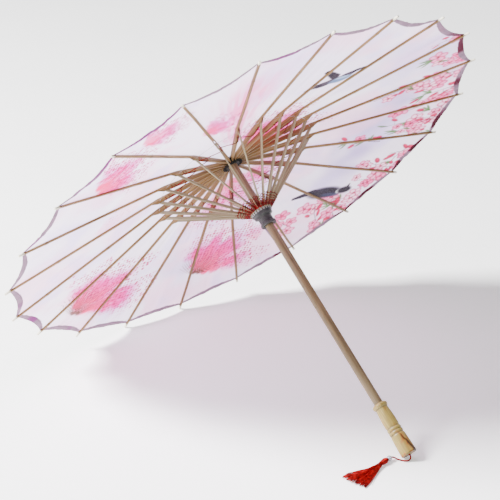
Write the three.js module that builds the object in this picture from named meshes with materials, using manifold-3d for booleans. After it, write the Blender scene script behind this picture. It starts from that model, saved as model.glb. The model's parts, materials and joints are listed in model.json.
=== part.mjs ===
// Oil paper umbrella: an open parasol on a bamboo frame, lying on two rib tips and the end of its handle.
// The frame is drawn upright first, in millimetres, with the pole on the z axis and z = 0 in the plane
// where the ribs hinge on the crown; heights below that plane are called drops. The finished umbrella
// is then leaned over, +z up, so that the ground it lies on is z = 0.
import * as THREE from 'three';
import { mergeVertices } from 'three/addons/utils/BufferGeometryUtils.js';
import Module from 'manifold-3d';

const wasm = await Module();
wasm.setup();

// ---- overall sizes ----
const RIB_COUNT = 22;
const CANOPY_RADIUS = 410; // pole axis to rib tip
const CANOPY_DROP = 47; // crown hinge plane to the middle of a rib tip
const JOINT_RADIUS = 134.5; // pole axis to the joint between rib and stretcher
const JOINT_DROP = 11;
const RUNNER_DROP = 91; // crown hinge plane to the stretchers' hinges, umbrella open
const HANDLE_TOP_DROP = 439;
const HANDLE_LENGTH = 86;

// ---- gaps between pieces ----
const GAP = 0.3; // between pieces that touch
const SIDE_GAP = 0.4; // between neighbouring ribs of the closed umbrella
const SLIT_GAP = 0.3; // each side of a stretcher in a rib's slit, and of an eye in its slot

// ---- pole ----
const POLE_RADIUS = 7;
const POLE_ABOVE_HINGES = 18;
const POLE_IN_HANDLE = 59;

// ---- ribs ----
const RIB_FOOT_WIDTH = 3.3; // lower edge at the crown end
const RIB_HEAD_WIDTH = 4.4; // upper edge at the crown end
const RIB_JOINT_FOOT_WIDTH = 4.4;
const RIB_JOINT_HEAD_WIDTH = 5.4;
const RIB_OUTER_FOOT_WIDTH = 4.4;
const RIB_OUTER_HEAD_WIDTH = 5;
const RIB_TIP_WIDTH = 3.8;
const RIB_BELOW_LINE = 1.6; // hinge line down to the inner section's lower edge
const RIB_TOP_AT_CROWN = 4.5; // hinge line up to the upper edge
const RIB_TOP_AT_JOINT = 5.6;
const RIB_TIP_DEPTH = 2.9;
const SHOULDER_START = 2; // past the joint, where the lower edge starts to step up
const SHOULDER_END = 12;
const EYE_RADIUS = 2.3; // rounded ends that sit in the crown and in the runner
const EYE_WIDTH = 2;
const EYE_REACH = 6.2; // hinge to where the rib reaches its full width
const SLIT_INWARD = 42; // length of a rib's slit on each side of the joint
const SLIT_OUTWARD = SHOULDER_END;

// ---- stretchers ----
const STRETCHER_WIDTH = 1.8;
const STRETCHER_DEPTH = 5;
const STRETCHER_EYE_RADIUS = 2.2;

// ---- tie wires that the eyes hinge on ----
const WIRE_RADIUS = 0.5;
const WIRE_HOLE_RADIUS = WIRE_RADIUS + GAP;

// ---- crown ----
const CROWN_TOOTH_HEIGHT = 7.8;
const CROWN_BELOW_HINGES = 3.8;
const CROWN_BOSS_RADIUS = 10;
const CROWN_BOSS_HEIGHT = 6;
const HUB_WALL = 1.8; // least wall between a bore and the slots around it
const TOOTH_OVERHANG = 2.4; // teeth reach this far outside the hinge circle
const CROWN_PIN_RADIUS = 1;
const CROWN_PIN_INSET = 0.6;

// ---- runner, measured down from the stretchers' hinges ----
const RUNNER_ABOVE_HINGES = 3.5;
const RUNNER_SLOT_FLOOR = 3;
const RUNNER_BAND_RADIUS = 15.2;
const RUNNER_BAND_END = 8.5;
const RUNNER_WAIST_RADIUS = 10.6;
const RUNNER_FLANGE_RADIUS = 12.7;
const RUNNER_FLANGE_HEIGHT = 4;
const RUNNER_LENGTH = 25.5;

// ---- spring catch, let into the pole just under the runner ----
const CATCH_AZIMUTH = THREE.MathUtils.degToRad(150);
const CATCH_WIDTH = 1.8;
const CATCH_LENGTH = 27;
const CATCH_DEPTH = 1.4; // radial size where it lies flush with the pole
const CATCH_PROUD = 2.2; // how far its nose stands out of the pole, and how far it presses in
const CATCH_NOSE = 2.2;

// ---- canopy ----
const CLOTH_THICKNESS = 0.8;
const CLOTH_GAP = 0.4; // above the ribs' upper edges
const CLOTH_SHORT_OF_TIP = 7; // bare rib tip beyond the hem
const SCALLOP = 7; // how far the hem dips inward between two ribs
const GORE_STEPS = 4;

// ---- cap on the outside of the canopy ----
const CAP_RADIUS = 22;
const CAP_HEIGHT = 17;
const CAP_KNOB_RADIUS = 6;
const CAP_KNOB_HEIGHT = 9;
const CAP_FLAT_RADIUS = 4;

// ---- handle ----
const HANDLE_END_RADIUS = 12.3;
const HANDLE_EDGE = 0.6; // small round at the end face
const HANDLE_BARREL_RADIUS = 10.9;
const HANDLE_NECK_RADIUS = 9.4;
const HANDLE_RING_RADIUS = 11.4;
const HANDLE_COLLAR_RADIUS = 12;
const CORD_HOLE_DEPTH = 14;
const CORD_HOLE_GAP = 0.8;

// ---- tassel on the handle ----
const CORD_RADIUS = 1.3;
const CORD_SIDES = 8;
const CORD_STEPS = 30;
const CORD_IN_HOLE = 10;
const BEAD_RADIUS = 4.4;
const BEAD_LENGTH = 7.6;
const TASSEL_HEAD_RADIUS = 4.6;
const TASSEL_HEAD_LENGTH = 16;
const TASSEL_SKIRT_LENGTH = 66;
const TASSEL_SKIRT_WIDTH = 48;
const TASSEL_SKIRT_HEIGHT = 7.4;
const OFF_GROUND = 0.2; // the tassel's pieces lie this far above the ground plane

// The cord's way from its hole to the bead: across and along from the hole's mouth, and height above ground.
const CORD_ROUTE = [
  [-0.3, -2.2, 7.4],
  [-1.4, -4, 5.5],
  [-3.2, -4.9, 3.8],
  [-5.6, -4.5, 2.5],
  [-7.9, -2.8, 1.8],
  [-9.8, -0.2, 1.5],
  [-11.4, 2.8, 1.5],
  [-13, 6, 1.5],
  [-14.4, 9.3, 1.8],
  [-16.1, 12.3, 2.8],
  [-18.3, 14.6, 4.1],
];
const BEAD_AT = [-26, 14.9]; // across and along, as above
const TASSEL_WAY = new THREE.Vector3(-0.991, -0.134, 0).normalize();

const ROUND = 32; // facets around a turned piece
const WIRE_SIDES = 6;

// ---- sizes that follow ----
const STEP_ANGLE = (2 * Math.PI) / RIB_COUNT;
const HALF_STEP = STEP_ANGLE / 2;
const HANDLE_END_DROP = HANDLE_TOP_DROP + HANDLE_LENGTH;
const boreRadius = POLE_RADIUS + GAP;

// The closed ribs lie side by side, and the eyes need a wall between them and the bore.
const radiusForRibs = RIB_BELOW_LINE + (RIB_FOOT_WIDTH + SIDE_GAP) / (2 * Math.tan(HALF_STEP));
const radiusForHub = boreRadius + HUB_WALL + GAP + EYE_RADIUS;
const hingeRadius = Math.max(radiusForRibs, radiusForHub);
const toothRadius = hingeRadius + TOOTH_OVERHANG;
const slotInnerRadius = hingeRadius - EYE_RADIUS - GAP;

const point = (r, z) => new THREE.Vector2(r, z);
const crownHinge = point(hingeRadius, 0);
const joint = point(JOINT_RADIUS, -JOINT_DROP);
const runnerHinge = point(hingeRadius, -RUNNER_DROP);
const innerLength = crownHinge.distanceTo(joint);
const tipTop = point(CANOPY_RADIUS, -CANOPY_DROP + RIB_TIP_DEPTH / 2);

// The outer section's line starts at the joint and ends under the tip, so that the upper edge stays parallel.
const tipLine = point(CANOPY_RADIUS, tipTop.y - RIB_TOP_AT_JOINT);
const outerLength = joint.distanceTo(tipLine);
const outerLow = RIB_TOP_AT_JOINT - RIB_TIP_DEPTH;

const LOOKS = {
  bamboo: { color: 0xc89a62, roughness: 0.55, metalness: 0 },
  strip: { color: 0xb5a98c, roughness: 0.6, metalness: 0 },
  pole: { color: 0xc9a479, roughness: 0.5, metalness: 0 },
  wood: { color: 0xd0bc90, roughness: 0.45, metalness: 0 },
  blackPlastic: { color: 0x25201a, roughness: 0.5, metalness: 0 },
  greyPlastic: { color: 0x85858a, roughness: 0.4, metalness: 0 },
  steel: { color: 0x8f9296, roughness: 0.35, metalness: 1 },
  cloth: { color: 0xeee4f2, roughness: 0.85, metalness: 0 },
  redSilk: { color: 0xc40a12, roughness: 0.7, metalness: 0 },
  bead: { color: 0xe4e6ea, roughness: 0.2, metalness: 0 },
};

// ---- helpers ----
function part(name, geometry, look) {
  const mesh = new THREE.Mesh(geometry, new THREE.MeshStandardMaterial(LOOKS[look]));
  mesh.name = name;
  return mesh;
}

// A closed geometry as a manifold solid, so that it can be cut.
function asSolid(geometry) {
  const bare = geometry.clone();
  bare.deleteAttribute('normal');
  bare.deleteAttribute('uv');
  const merged = mergeVertices(bare, 1e-4);
  const corners = merged.index.array;
  const kept = [];
  for (let i = 0; i < corners.length; i += 3) {
    const [a, b, c] = corners.slice(i, i + 3);
    if (a !== b && b !== c && c !== a) kept.push(a, b, c);
  }
  const vertProperties = new Float32Array(merged.attributes.position.array);
  const mesh = new wasm.Mesh({ numProp: 3, vertProperties, triVerts: new Uint32Array(kept) });
  return new wasm.Manifold(mesh);
}

function asGeometry(solid) {
  const mesh = solid.getMesh();
  const geometry = new THREE.BufferGeometry();
  geometry.setAttribute('position', new THREE.BufferAttribute(new Float32Array(mesh.vertProperties), 3));
  geometry.setIndex(new THREE.BufferAttribute(new Uint32Array(mesh.triVerts), 1));
  geometry.computeVertexNormals();
  return geometry;
}

function cut(geometry, cutters) {
  let solid = asSolid(geometry);
  for (const cutter of cutters) solid = solid.subtract(asSolid(cutter));
  return asGeometry(solid);
}

// A turned piece on the z axis, from [radius, z] corners in anticlockwise order.
function turned(corners, segments = ROUND) {
  const profile = corners.map(([r, z]) => point(r, z));
  return new THREE.LatheGeometry(profile, segments).rotateX(Math.PI / 2);
}

function boxAt(x0, x1, y0, y1, z0, z1) {
  const box = new THREE.BoxGeometry(x1 - x0, y1 - y0, z1 - z0);
  return box.translate((x0 + x1) / 2, (y0 + y1) / 2, (z0 + z1) / 2);
}

// A bar with a four-cornered section. A station is { at, up, low, high, footWidth, headWidth } in the
// plane y = 0: a point of the bar's line, the way up there, and the edges' heights and widths.
function bar(stations) {
  const corners = [];
  for (const { at, up, low, high, footWidth, headWidth } of stations) {
    for (const [height, y] of [
      [low, -footWidth / 2],
      [low, footWidth / 2],
      [high, headWidth / 2],
      [high, -headWidth / 2],
    ]) {
      corners.push(at.x + up.x * height, y, at.y + up.y * height);
    }
  }
  const faces = [0, 3, 2, 0, 2, 1];
  for (let i = 0; i < stations.length - 1; i++) {
    for (let k = 0; k < 4; k++) {
      const a = 4 * i + k;
      const b = 4 * i + ((k + 1) % 4);
      faces.push(a, b, b + 4, a, b + 4, a + 4);
    }
  }
  const end = 4 * (stations.length - 1);
  faces.push(end, end + 1, end + 2, end, end + 2, end + 3);
  const geometry = new THREE.BufferGeometry();
  geometry.setAttribute('position', new THREE.Float32BufferAttribute(corners, 3));
  geometry.setIndex(faces);
  geometry.computeVertexNormals();
  return geometry;
}

const alongFrom = (start, end) => {
  const way = end.clone().sub(start).normalize();
  const up = point(-way.y, way.x);
  return (distance) => ({ at: start.clone().addScaledVector(way, distance), up });
};

function hingeHole(hinge) {
  const hole = new THREE.CylinderGeometry(WIRE_HOLE_RADIUS, WIRE_HOLE_RADIUS, 3 * EYE_WIDTH, 8);
  return hole.translate(hinge.x, 0, hinge.y);
}

// ---- ribs and stretchers, each drawn in the plane y = 0 ----
const inner = alongFrom(crownHinge, joint);
const outer = alongFrom(joint, tipLine);

function ribGeometry() {
  const eye = { footWidth: EYE_WIDTH, headWidth: EYE_WIDTH };
  const jointWidths = { footWidth: RIB_JOINT_FOOT_WIDTH, headWidth: RIB_JOINT_HEAD_WIDTH };
  const bend = inner(0).up.clone().add(outer(0).up).normalize();
  const outline = bar([
    { ...inner(-EYE_RADIUS), low: -0.45 * EYE_RADIUS, high: 0.45 * EYE_RADIUS, ...eye },
    { ...inner(-0.6 * EYE_RADIUS), low: -0.85 * EYE_RADIUS, high: 0.85 * EYE_RADIUS, ...eye },
    { ...inner(0), low: -EYE_RADIUS, high: EYE_RADIUS, ...eye },
    { ...inner(EYE_REACH), low: -EYE_RADIUS, high: EYE_RADIUS, ...eye },
    {
      ...inner(EYE_REACH + 1),
      low: -RIB_BELOW_LINE,
      high: RIB_TOP_AT_CROWN,
      footWidth: RIB_FOOT_WIDTH,
      headWidth: RIB_HEAD_WIDTH,
    },
    { at: joint, up: bend, low: -RIB_BELOW_LINE, high: RIB_TOP_AT_JOINT, ...jointWidths },
    { ...outer(SHOULDER_START), low: -RIB_BELOW_LINE, high: RIB_TOP_AT_JOINT, ...jointWidths },
    {
      ...outer(SHOULDER_END),
      low: outerLow,
      high: RIB_TOP_AT_JOINT,
      footWidth: RIB_OUTER_FOOT_WIDTH,
      headWidth: RIB_OUTER_HEAD_WIDTH,
    },
    {
      ...outer(outerLength),
      low: outerLow,
      high: RIB_TOP_AT_JOINT,
      footWidth: RIB_TIP_WIDTH,
      headWidth: RIB_TIP_WIDTH,
    },
  ]);
  const halfSlit = STRETCHER_WIDTH / 2 + SLIT_GAP;
  const slit = boxAt(
    inner(innerLength - SLIT_INWARD).at.x,
    outer(SLIT_OUTWARD).at.x,
    -halfSlit,
    halfSlit,
    -CANOPY_DROP,
    CANOPY_DROP,
  );
  return cut(outline, [slit, hingeHole(crownHinge)]);
}

function stretcherGeometry() {
  const along = alongFrom(runnerHinge, joint);
  const length = runnerHinge.distanceTo(joint);
  const half = STRETCHER_DEPTH / 2;
  const station = (distance, reach) => ({
    ...along(distance),
    low: -reach,
    high: reach,
    footWidth: STRETCHER_WIDTH,
    headWidth: STRETCHER_WIDTH,
  });
  const outline = bar([
    station(-STRETCHER_EYE_RADIUS, 0.45 * STRETCHER_EYE_RADIUS),
    station(-0.6 * STRETCHER_EYE_RADIUS, 0.85 * STRETCHER_EYE_RADIUS),
    station(0, STRETCHER_EYE_RADIUS),
    station(EYE_REACH, STRETCHER_EYE_RADIUS),
    station(2 * EYE_REACH, half),
    station(length - half, half),
    station(length, 0.8 * half),
    station(length + 0.7 * half, 0.35 * half),
  ]);
  return cut(outline, [hingeHole(runnerHinge)]);
}

// ---- crown and runner ----
// Slots for the eyes: one radial cut for each rib, from z0 up to z1.
function eyeSlots(eyeWidth, z0, z1) {
  const half = eyeWidth / 2 + SLIT_GAP;
  const slots = [];
  for (let i = 0; i < RIB_COUNT; i++) {
    const slot = boxAt(slotInnerRadius, 2 * toothRadius, -half, half, z0, z1);
    slots.push(slot.rotateZ(ribAzimuth(i)));
  }
  return slots;
}

// Two ribs share the lowest place of the rim: the azimuth +y lies midway between them.
function ribAzimuth(i) {
  return Math.PI / 2 + (i + 0.5) * STEP_ANGLE;
}

const ring = (tubeRadius, z) =>
  new THREE.TorusGeometry(hingeRadius, tubeRadius, WIRE_SIDES, 2 * RIB_COUNT).translate(0, 0, z);

const crownTop = CROWN_TOOTH_HEIGHT - CROWN_BELOW_HINGES;
const bossTop = crownTop + CROWN_BOSS_HEIGHT;
const crownPinZ = crownTop + CROWN_BOSS_HEIGHT / 2;
const bossRadius = Math.max(CROWN_BOSS_RADIUS, boreRadius + HUB_WALL);

const crossPin = (radius, length) =>
  new THREE.CylinderGeometry(radius, radius, length, 12).rotateZ(Math.PI / 2).translate(0, 0, crownPinZ);

const crownPinHole = () => crossPin(CROWN_PIN_RADIUS + GAP, 4 * bossRadius);

function crownGeometry() {
  const body = turned([
    [boreRadius, -CROWN_BELOW_HINGES],
    [toothRadius, -CROWN_BELOW_HINGES],
    [toothRadius, crownTop - 1],
    [toothRadius - 1, crownTop],
    [bossRadius, crownTop],
    [bossRadius, bossTop],
    [boreRadius, bossTop],
    [boreRadius, -CROWN_BELOW_HINGES],
  ], 2 * RIB_COUNT);
  const slots = eyeSlots(EYE_WIDTH, -2 * CROWN_BELOW_HINGES, EYE_RADIUS + GAP);
  return cut(body, [...slots, ring(WIRE_HOLE_RADIUS, 0), crownPinHole()]);
}

function runnerGeometry() {
  const top = -RUNNER_DROP + RUNNER_ABOVE_HINGES;
  const at = (below) => -RUNNER_DROP - below;
  const floor = at(RUNNER_SLOT_FLOOR + 0.8);
  const waistRadius = Math.max(RUNNER_WAIST_RADIUS, boreRadius + HUB_WALL);
  const flangeRadius = Math.max(RUNNER_FLANGE_RADIUS, waistRadius + HUB_WALL);
  const body = turned([
    [boreRadius, at(RUNNER_LENGTH)],
    [flangeRadius - 0.6, at(RUNNER_LENGTH)],
    [flangeRadius, at(RUNNER_LENGTH - 0.6)],
    [flangeRadius, at(RUNNER_LENGTH - RUNNER_FLANGE_HEIGHT)],
    [waistRadius, at(RUNNER_LENGTH - RUNNER_FLANGE_HEIGHT - 2)],
    [waistRadius, at(RUNNER_BAND_END + 2.5)],
    [Math.min(RUNNER_BAND_RADIUS, toothRadius), at(RUNNER_BAND_END)],
    [Math.min(RUNNER_BAND_RADIUS, toothRadius), floor],
    [toothRadius, floor],
    [toothRadius, top],
    [boreRadius, top],
    [boreRadius, at(RUNNER_LENGTH)],
  ], 2 * RIB_COUNT);
  const slots = eyeSlots(STRETCHER_WIDTH, at(RUNNER_SLOT_FLOOR), 2 * RUNNER_ABOVE_HINGES - RUNNER_DROP);
  return cut(body, [...slots, ring(WIRE_HOLE_RADIUS, -RUNNER_DROP)]);
}

// ---- pole and catch ----
const catchTop = -RUNNER_DROP - RUNNER_LENGTH - GAP;

function catchOutline() {
  const inside = POLE_RADIUS - GAP - CATCH_DEPTH;
  const flush = POLE_RADIUS - GAP;
  const proud = POLE_RADIUS + CATCH_PROUD;
  return new THREE.Shape([
    point(inside, catchTop - CATCH_LENGTH),
    point(flush, catchTop - CATCH_LENGTH),
    point(proud, catchTop - CATCH_NOSE),
    point(proud, catchTop),
    point(inside, catchTop),
  ]);
}

function catchGeometry() {
  const leaf = new THREE.ExtrudeGeometry(catchOutline(), { depth: CATCH_WIDTH, bevelEnabled: false });
  return leaf.translate(0, 0, -CATCH_WIDTH / 2).rotateX(Math.PI / 2);
}

function poleGeometry() {
  const bottom = -HANDLE_TOP_DROP - POLE_IN_HANDLE;
  const rod = turned([
    [0, bottom],
    [POLE_RADIUS, bottom],
    [POLE_RADIUS, POLE_ABOVE_HINGES],
    [0, POLE_ABOVE_HINGES],
  ]);
  const half = CATCH_WIDTH / 2 + GAP;
  const slot = boxAt(
    POLE_RADIUS - 2 * GAP - CATCH_DEPTH - CATCH_PROUD,
    2 * POLE_RADIUS,
    -half,
    half,
    catchTop - CATCH_LENGTH - GAP,
    catchTop + GAP,
  ).rotateZ(CATCH_AZIMUTH);
  return cut(rod, [slot, crownPinHole()]);
}

// ---- canopy ----
// The cloth's underside along a rib, from the crown's boss over the joint to the hem.
function clothLine(hemShort) {
  const crownEdge = inner(EYE_REACH + 1).at;
  const overCrown = Math.max(crownTop, crownEdge.y + RIB_TOP_AT_CROWN) + CLOTH_GAP;
  const jointTop = joint.y + RIB_TOP_AT_JOINT + CLOTH_GAP;
  const hemRadius = CANOPY_RADIUS - CLOTH_SHORT_OF_TIP - hemShort;
  const share = (hemRadius - joint.x) / (CANOPY_RADIUS - joint.x);
  return [
    point(bossRadius + 2 * GAP, overCrown),
    point(crownEdge.x, overCrown),
    point(joint.x, jointTop),
    point(hemRadius, THREE.MathUtils.lerp(jointTop, tipTop.y + CLOTH_GAP, share)),
  ];
}

// Between two ribs the cloth runs straight across, and the hem dips in.
function canopyGeometry() {
  const columns = [];
  for (let i = 0; i < RIB_COUNT; i++) {
    const rib = point(Math.cos(ribAzimuth(i)), Math.sin(ribAzimuth(i)));
    const nextRib = point(Math.cos(ribAzimuth(i + 1)), Math.sin(ribAzimuth(i + 1)));
    for (let step = 0; step < GORE_STEPS; step++) {
      const share = step / GORE_STEPS;
      const hemShort = SCALLOP * 4 * share * (1 - share);
      columns.push({ line: clothLine(hemShort), way: rib.clone().lerp(nextRib, share) });
    }
  }
  const rows = columns[0].line.length;
  const corners = [];
  for (const { line, way } of columns) {
    for (const thickness of [0, CLOTH_THICKNESS]) {
      for (const { x, y } of line) corners.push(x * way.x, x * way.y, y + thickness);
    }
  }
  const faces = [];
  const quad = (a, b, c, d) => faces.push(a, b, c, a, c, d);
  for (let i = 0; i < columns.length; i++) {
    const here = 2 * rows * i;
    const next = 2 * rows * ((i + 1) % columns.length);
    for (let row = 0; row < rows - 1; row++) {
      quad(here + row, next + row, next + row + 1, here + row + 1);
      quad(here + rows + row, here + rows + row + 1, next + rows + row + 1, next + rows + row);
    }
    quad(here, here + rows, next + rows, next);
    quad(here + rows - 1, next + rows - 1, next + 2 * rows - 1, here + 2 * rows - 1);
  }
  const geometry = new THREE.BufferGeometry();
  geometry.setAttribute('position', new THREE.Float32BufferAttribute(corners, 3));
  geometry.setIndex(faces);
  geometry.computeVertexNormals();
  return geometry;
}

// ---- cap over the crown ----
function capGeometry() {
  const clothTop = clothLine(0)[1].y + CLOTH_THICKNESS;
  const underside = clothTop + GAP;
  const recess = bossTop + GAP;
  const socket = POLE_ABOVE_HINGES + GAP;
  const dome = underside + CAP_HEIGHT;
  const radius = Math.max(CAP_RADIUS, toothRadius + 2 * HUB_WALL);
  return turned([
    [0, socket],
    [boreRadius, socket],
    [boreRadius, recess],
    [bossRadius + GAP, recess],
    [bossRadius + GAP, underside],
    [radius - 0.8, underside],
    [radius, underside + 0.8],
    [radius - 1, underside + 0.25 * CAP_HEIGHT],
    [0.8 * radius, underside + 0.55 * CAP_HEIGHT],
    [0.52 * radius, underside + 0.85 * CAP_HEIGHT],
    [CAP_KNOB_RADIUS - 1.4, dome],
    [CAP_KNOB_RADIUS, dome + 0.35 * CAP_KNOB_HEIGHT],
    [CAP_KNOB_RADIUS, dome + 0.7 * CAP_KNOB_HEIGHT],
    [CAP_FLAT_RADIUS, dome + CAP_KNOB_HEIGHT],
    [0, dome + CAP_KNOB_HEIGHT],
  ]);
}

// ---- handle ----
const cordHoleRadius = CORD_RADIUS + CORD_HOLE_GAP;

function handleGeometry() {
  const up = (share) => -HANDLE_END_DROP + share * HANDLE_LENGTH;
  return turned([
    [0, -HANDLE_END_DROP + CORD_HOLE_DEPTH],
    [cordHoleRadius, -HANDLE_END_DROP + CORD_HOLE_DEPTH],
    [cordHoleRadius, -HANDLE_END_DROP],
    [HANDLE_END_RADIUS - HANDLE_EDGE, -HANDLE_END_DROP],
    [HANDLE_END_RADIUS, -HANDLE_END_DROP + 2 * HANDLE_EDGE],
    [HANDLE_END_RADIUS - 0.2, up(0.12)],
    [HANDLE_RING_RADIUS, up(0.3)],
    [HANDLE_RING_RADIUS - 0.3, up(0.39)],
    [HANDLE_BARREL_RADIUS - 0.8, up(0.41)],
    [HANDLE_RING_RADIUS, up(0.44)],
    [HANDLE_RING_RADIUS, up(0.48)],
    [HANDLE_BARREL_RADIUS - 0.8, up(0.51)],
    [HANDLE_BARREL_RADIUS, up(0.55)],
    [HANDLE_BARREL_RADIUS, up(0.68)],
    [HANDLE_NECK_RADIUS + 0.7, up(0.82)],
    [HANDLE_NECK_RADIUS, up(0.9)],
    [HANDLE_COLLAR_RADIUS - 0.6, up(0.93)],
    [HANDLE_COLLAR_RADIUS, up(0.955)],
    [HANDLE_COLLAR_RADIUS - 1, up(0.985)],
    [boreRadius + 1.2, up(1)],
    [boreRadius, up(1)],
    [boreRadius, -HANDLE_TOP_DROP - POLE_IN_HANDLE - GAP],
    [0, -HANDLE_TOP_DROP - POLE_IN_HANDLE - GAP],
  ]);
}

// ---- the umbrella, upright ----
const umbrella = new THREE.Group();
umbrella.add(part('pole', poleGeometry(), 'pole'));
umbrella.add(part('crown_hub', crownGeometry(), 'blackPlastic'));
umbrella.add(part('crown_tie_wire', ring(WIRE_RADIUS, 0), 'steel'));
umbrella.add(part('crown_pin', crossPin(CROWN_PIN_RADIUS, 2 * (bossRadius - CROWN_PIN_INSET)), 'steel'));
umbrella.add(part('top_cap', capGeometry(), 'blackPlastic'));
umbrella.add(part('runner', runnerGeometry(), 'greyPlastic'));
umbrella.add(part('runner_tie_wire', ring(WIRE_RADIUS, -RUNNER_DROP), 'steel'));
umbrella.add(part('handle', handleGeometry(), 'wood'));
umbrella.add(part('canopy', canopyGeometry(), 'cloth'));

const catchSpring = part('catch_spring', catchGeometry(), 'steel');
catchSpring.rotation.z = CATCH_AZIMUTH;
umbrella.add(catchSpring);

const ribShape = ribGeometry();
const stretcherShape = stretcherGeometry();
for (let i = 0; i < RIB_COUNT; i++) {
  const number = String(i + 1).padStart(2, '0');
  const spoke = new THREE.Group();
  spoke.rotation.z = ribAzimuth(i);
  spoke.add(part(`rib_${number}`, ribShape, 'bamboo'));
  spoke.add(part(`stretcher_${number}`, stretcherShape, 'strip'));
  umbrella.add(spoke);
}

// ---- lean it over, onto two rib tips and the edge of the handle's end face ----
const tipLow = outer(outerLength).at.clone().addScaledVector(outer(outerLength).up, outerLow);
const tipReach = tipLow.x * Math.cos(HALF_STEP) + (RIB_TIP_WIDTH / 2) * Math.sin(HALF_STEP);
const handleEdgeRadius = HANDLE_END_RADIUS - HANDLE_EDGE;
const poleToGround = Math.atan2(tipReach - handleEdgeRadius, HANDLE_END_DROP + tipLow.y);
umbrella.rotation.x = poleToGround - Math.PI / 2;
umbrella.updateMatrixWorld(true);
const lying = new THREE.Box3().setFromObject(umbrella, true);
umbrella.position.set(0, -(lying.min.y + lying.max.y) / 2, -lying.min.z);
umbrella.updateMatrixWorld(true);

// ---- tassel: its cord leaves the handle's end face and lies on the ground ----
const tasselHeight = TASSEL_HEAD_RADIUS + OFF_GROUND;
const mouth = new THREE.Vector3(0, 0, -HANDLE_END_DROP).applyMatrix4(umbrella.matrixWorld);
const outOfHandle = new THREE.Vector3(0, 0, -1).transformDirection(umbrella.matrixWorld);
const beadAt = new THREE.Vector3(mouth.x + BEAD_AT[0], mouth.y + BEAD_AT[1], tasselHeight);
const headStart = BEAD_LENGTH / 2 + GAP;
const skirtStart = headStart + TASSEL_HEAD_LENGTH + GAP;
const cordInHead = 3;

function cordGeometry() {
  const route = [
    mouth.clone().addScaledVector(outOfHandle, -CORD_IN_HOLE),
    mouth.clone().addScaledVector(outOfHandle, -CORD_IN_HOLE / 2),
    mouth.clone(),
    ...CORD_ROUTE.map(([across, along, z]) => new THREE.Vector3(mouth.x + across, mouth.y + along, z)),
    beadAt.clone().addScaledVector(TASSEL_WAY, -headStart),
    beadAt.clone(),
    beadAt.clone().addScaledVector(TASSEL_WAY, headStart + cordInHead),
  ];
  const section = new THREE.Shape();
  for (let i = 0; i < CORD_SIDES; i++) {
    const angle = (2 * Math.PI * i) / CORD_SIDES;
    const corner = point(CORD_RADIUS * Math.cos(angle), CORD_RADIUS * Math.sin(angle));
    if (i === 0) section.moveTo(corner.x, corner.y);
    else section.lineTo(corner.x, corner.y);
  }
  section.closePath();
  const extrudePath = new THREE.CatmullRomCurve3(route);
  return new THREE.ExtrudeGeometry(section, { extrudePath, steps: CORD_STEPS, bevelEnabled: false });
}

// Turned pieces threaded on the cord: drawn along z from the bead's middle, then laid along the tassel's way.
const laidDown = (geometry) => geometry.rotateY(Math.PI / 2);
const threadHole = CORD_RADIUS + 2 * GAP;

function beadGeometry() {
  const half = BEAD_LENGTH / 2;
  return laidDown(
    turned(
      [
        [threadHole, -half],
        [0.62 * BEAD_RADIUS, -half],
        [0.9 * BEAD_RADIUS, -0.5 * half],
        [BEAD_RADIUS, 0],
        [0.9 * BEAD_RADIUS, 0.5 * half],
        [0.62 * BEAD_RADIUS, half],
        [threadHole, half],
        [threadHole, -half],
      ],
      16,
    ),
  );
}

function tasselHeadGeometry() {
  const end = headStart + TASSEL_HEAD_LENGTH;
  return laidDown(
    turned(
      [
        [0, headStart + cordInHead + GAP],
        [threadHole, headStart + cordInHead + GAP],
        [threadHole, headStart],
        [0.55 * TASSEL_HEAD_RADIUS, headStart],
        [0.92 * TASSEL_HEAD_RADIUS, headStart + 0.2 * TASSEL_HEAD_LENGTH],
        [TASSEL_HEAD_RADIUS, headStart + 0.45 * TASSEL_HEAD_LENGTH],
        [0.85 * TASSEL_HEAD_RADIUS, headStart + 0.75 * TASSEL_HEAD_LENGTH],
        [0.6 * TASSEL_HEAD_RADIUS, headStart + 0.85 * TASSEL_HEAD_LENGTH],
        [0.75 * TASSEL_HEAD_RADIUS, end],
        [0, end],
      ],
      16,
    ),
  );
}

function tasselSkirtGeometry() {
  const low = OFF_GROUND - tasselHeight;
  const station = (share, width, height) => ({
    at: point(skirtStart + share * TASSEL_SKIRT_LENGTH, 0),
    up: point(0, 1),
    low,
    high: low + height,
    footWidth: width * TASSEL_SKIRT_WIDTH,
    headWidth: 0.7 * width * TASSEL_SKIRT_WIDTH,
  });
  return bar([
    station(0, 0.17, TASSEL_SKIRT_HEIGHT),
    station(0.25, 0.33, TASSEL_SKIRT_HEIGHT),
    station(0.65, 0.7, 0.8 * TASSEL_SKIRT_HEIGHT),
    station(1, 1, 0.55 * TASSEL_SKIRT_HEIGHT),
  ]);
}

const tassel = new THREE.Group();
tassel.position.copy(beadAt);
tassel.rotation.z = Math.atan2(TASSEL_WAY.y, TASSEL_WAY.x);
tassel.add(part('tassel_bead', beadGeometry(), 'bead'));
tassel.add(part('tassel_head', tasselHeadGeometry(), 'redSilk'));
tassel.add(part('tassel_skirt', tasselSkirtGeometry(), 'redSilk'));

const group = new THREE.Group();
group.add(umbrella);
group.add(part('tassel_cord', cordGeometry(), 'redSilk'));
group.add(tassel);

export default group;
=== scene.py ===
import json
import math

import bmesh
import bpy
import numpy as np
from mathutils import Matrix, Vector


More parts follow.
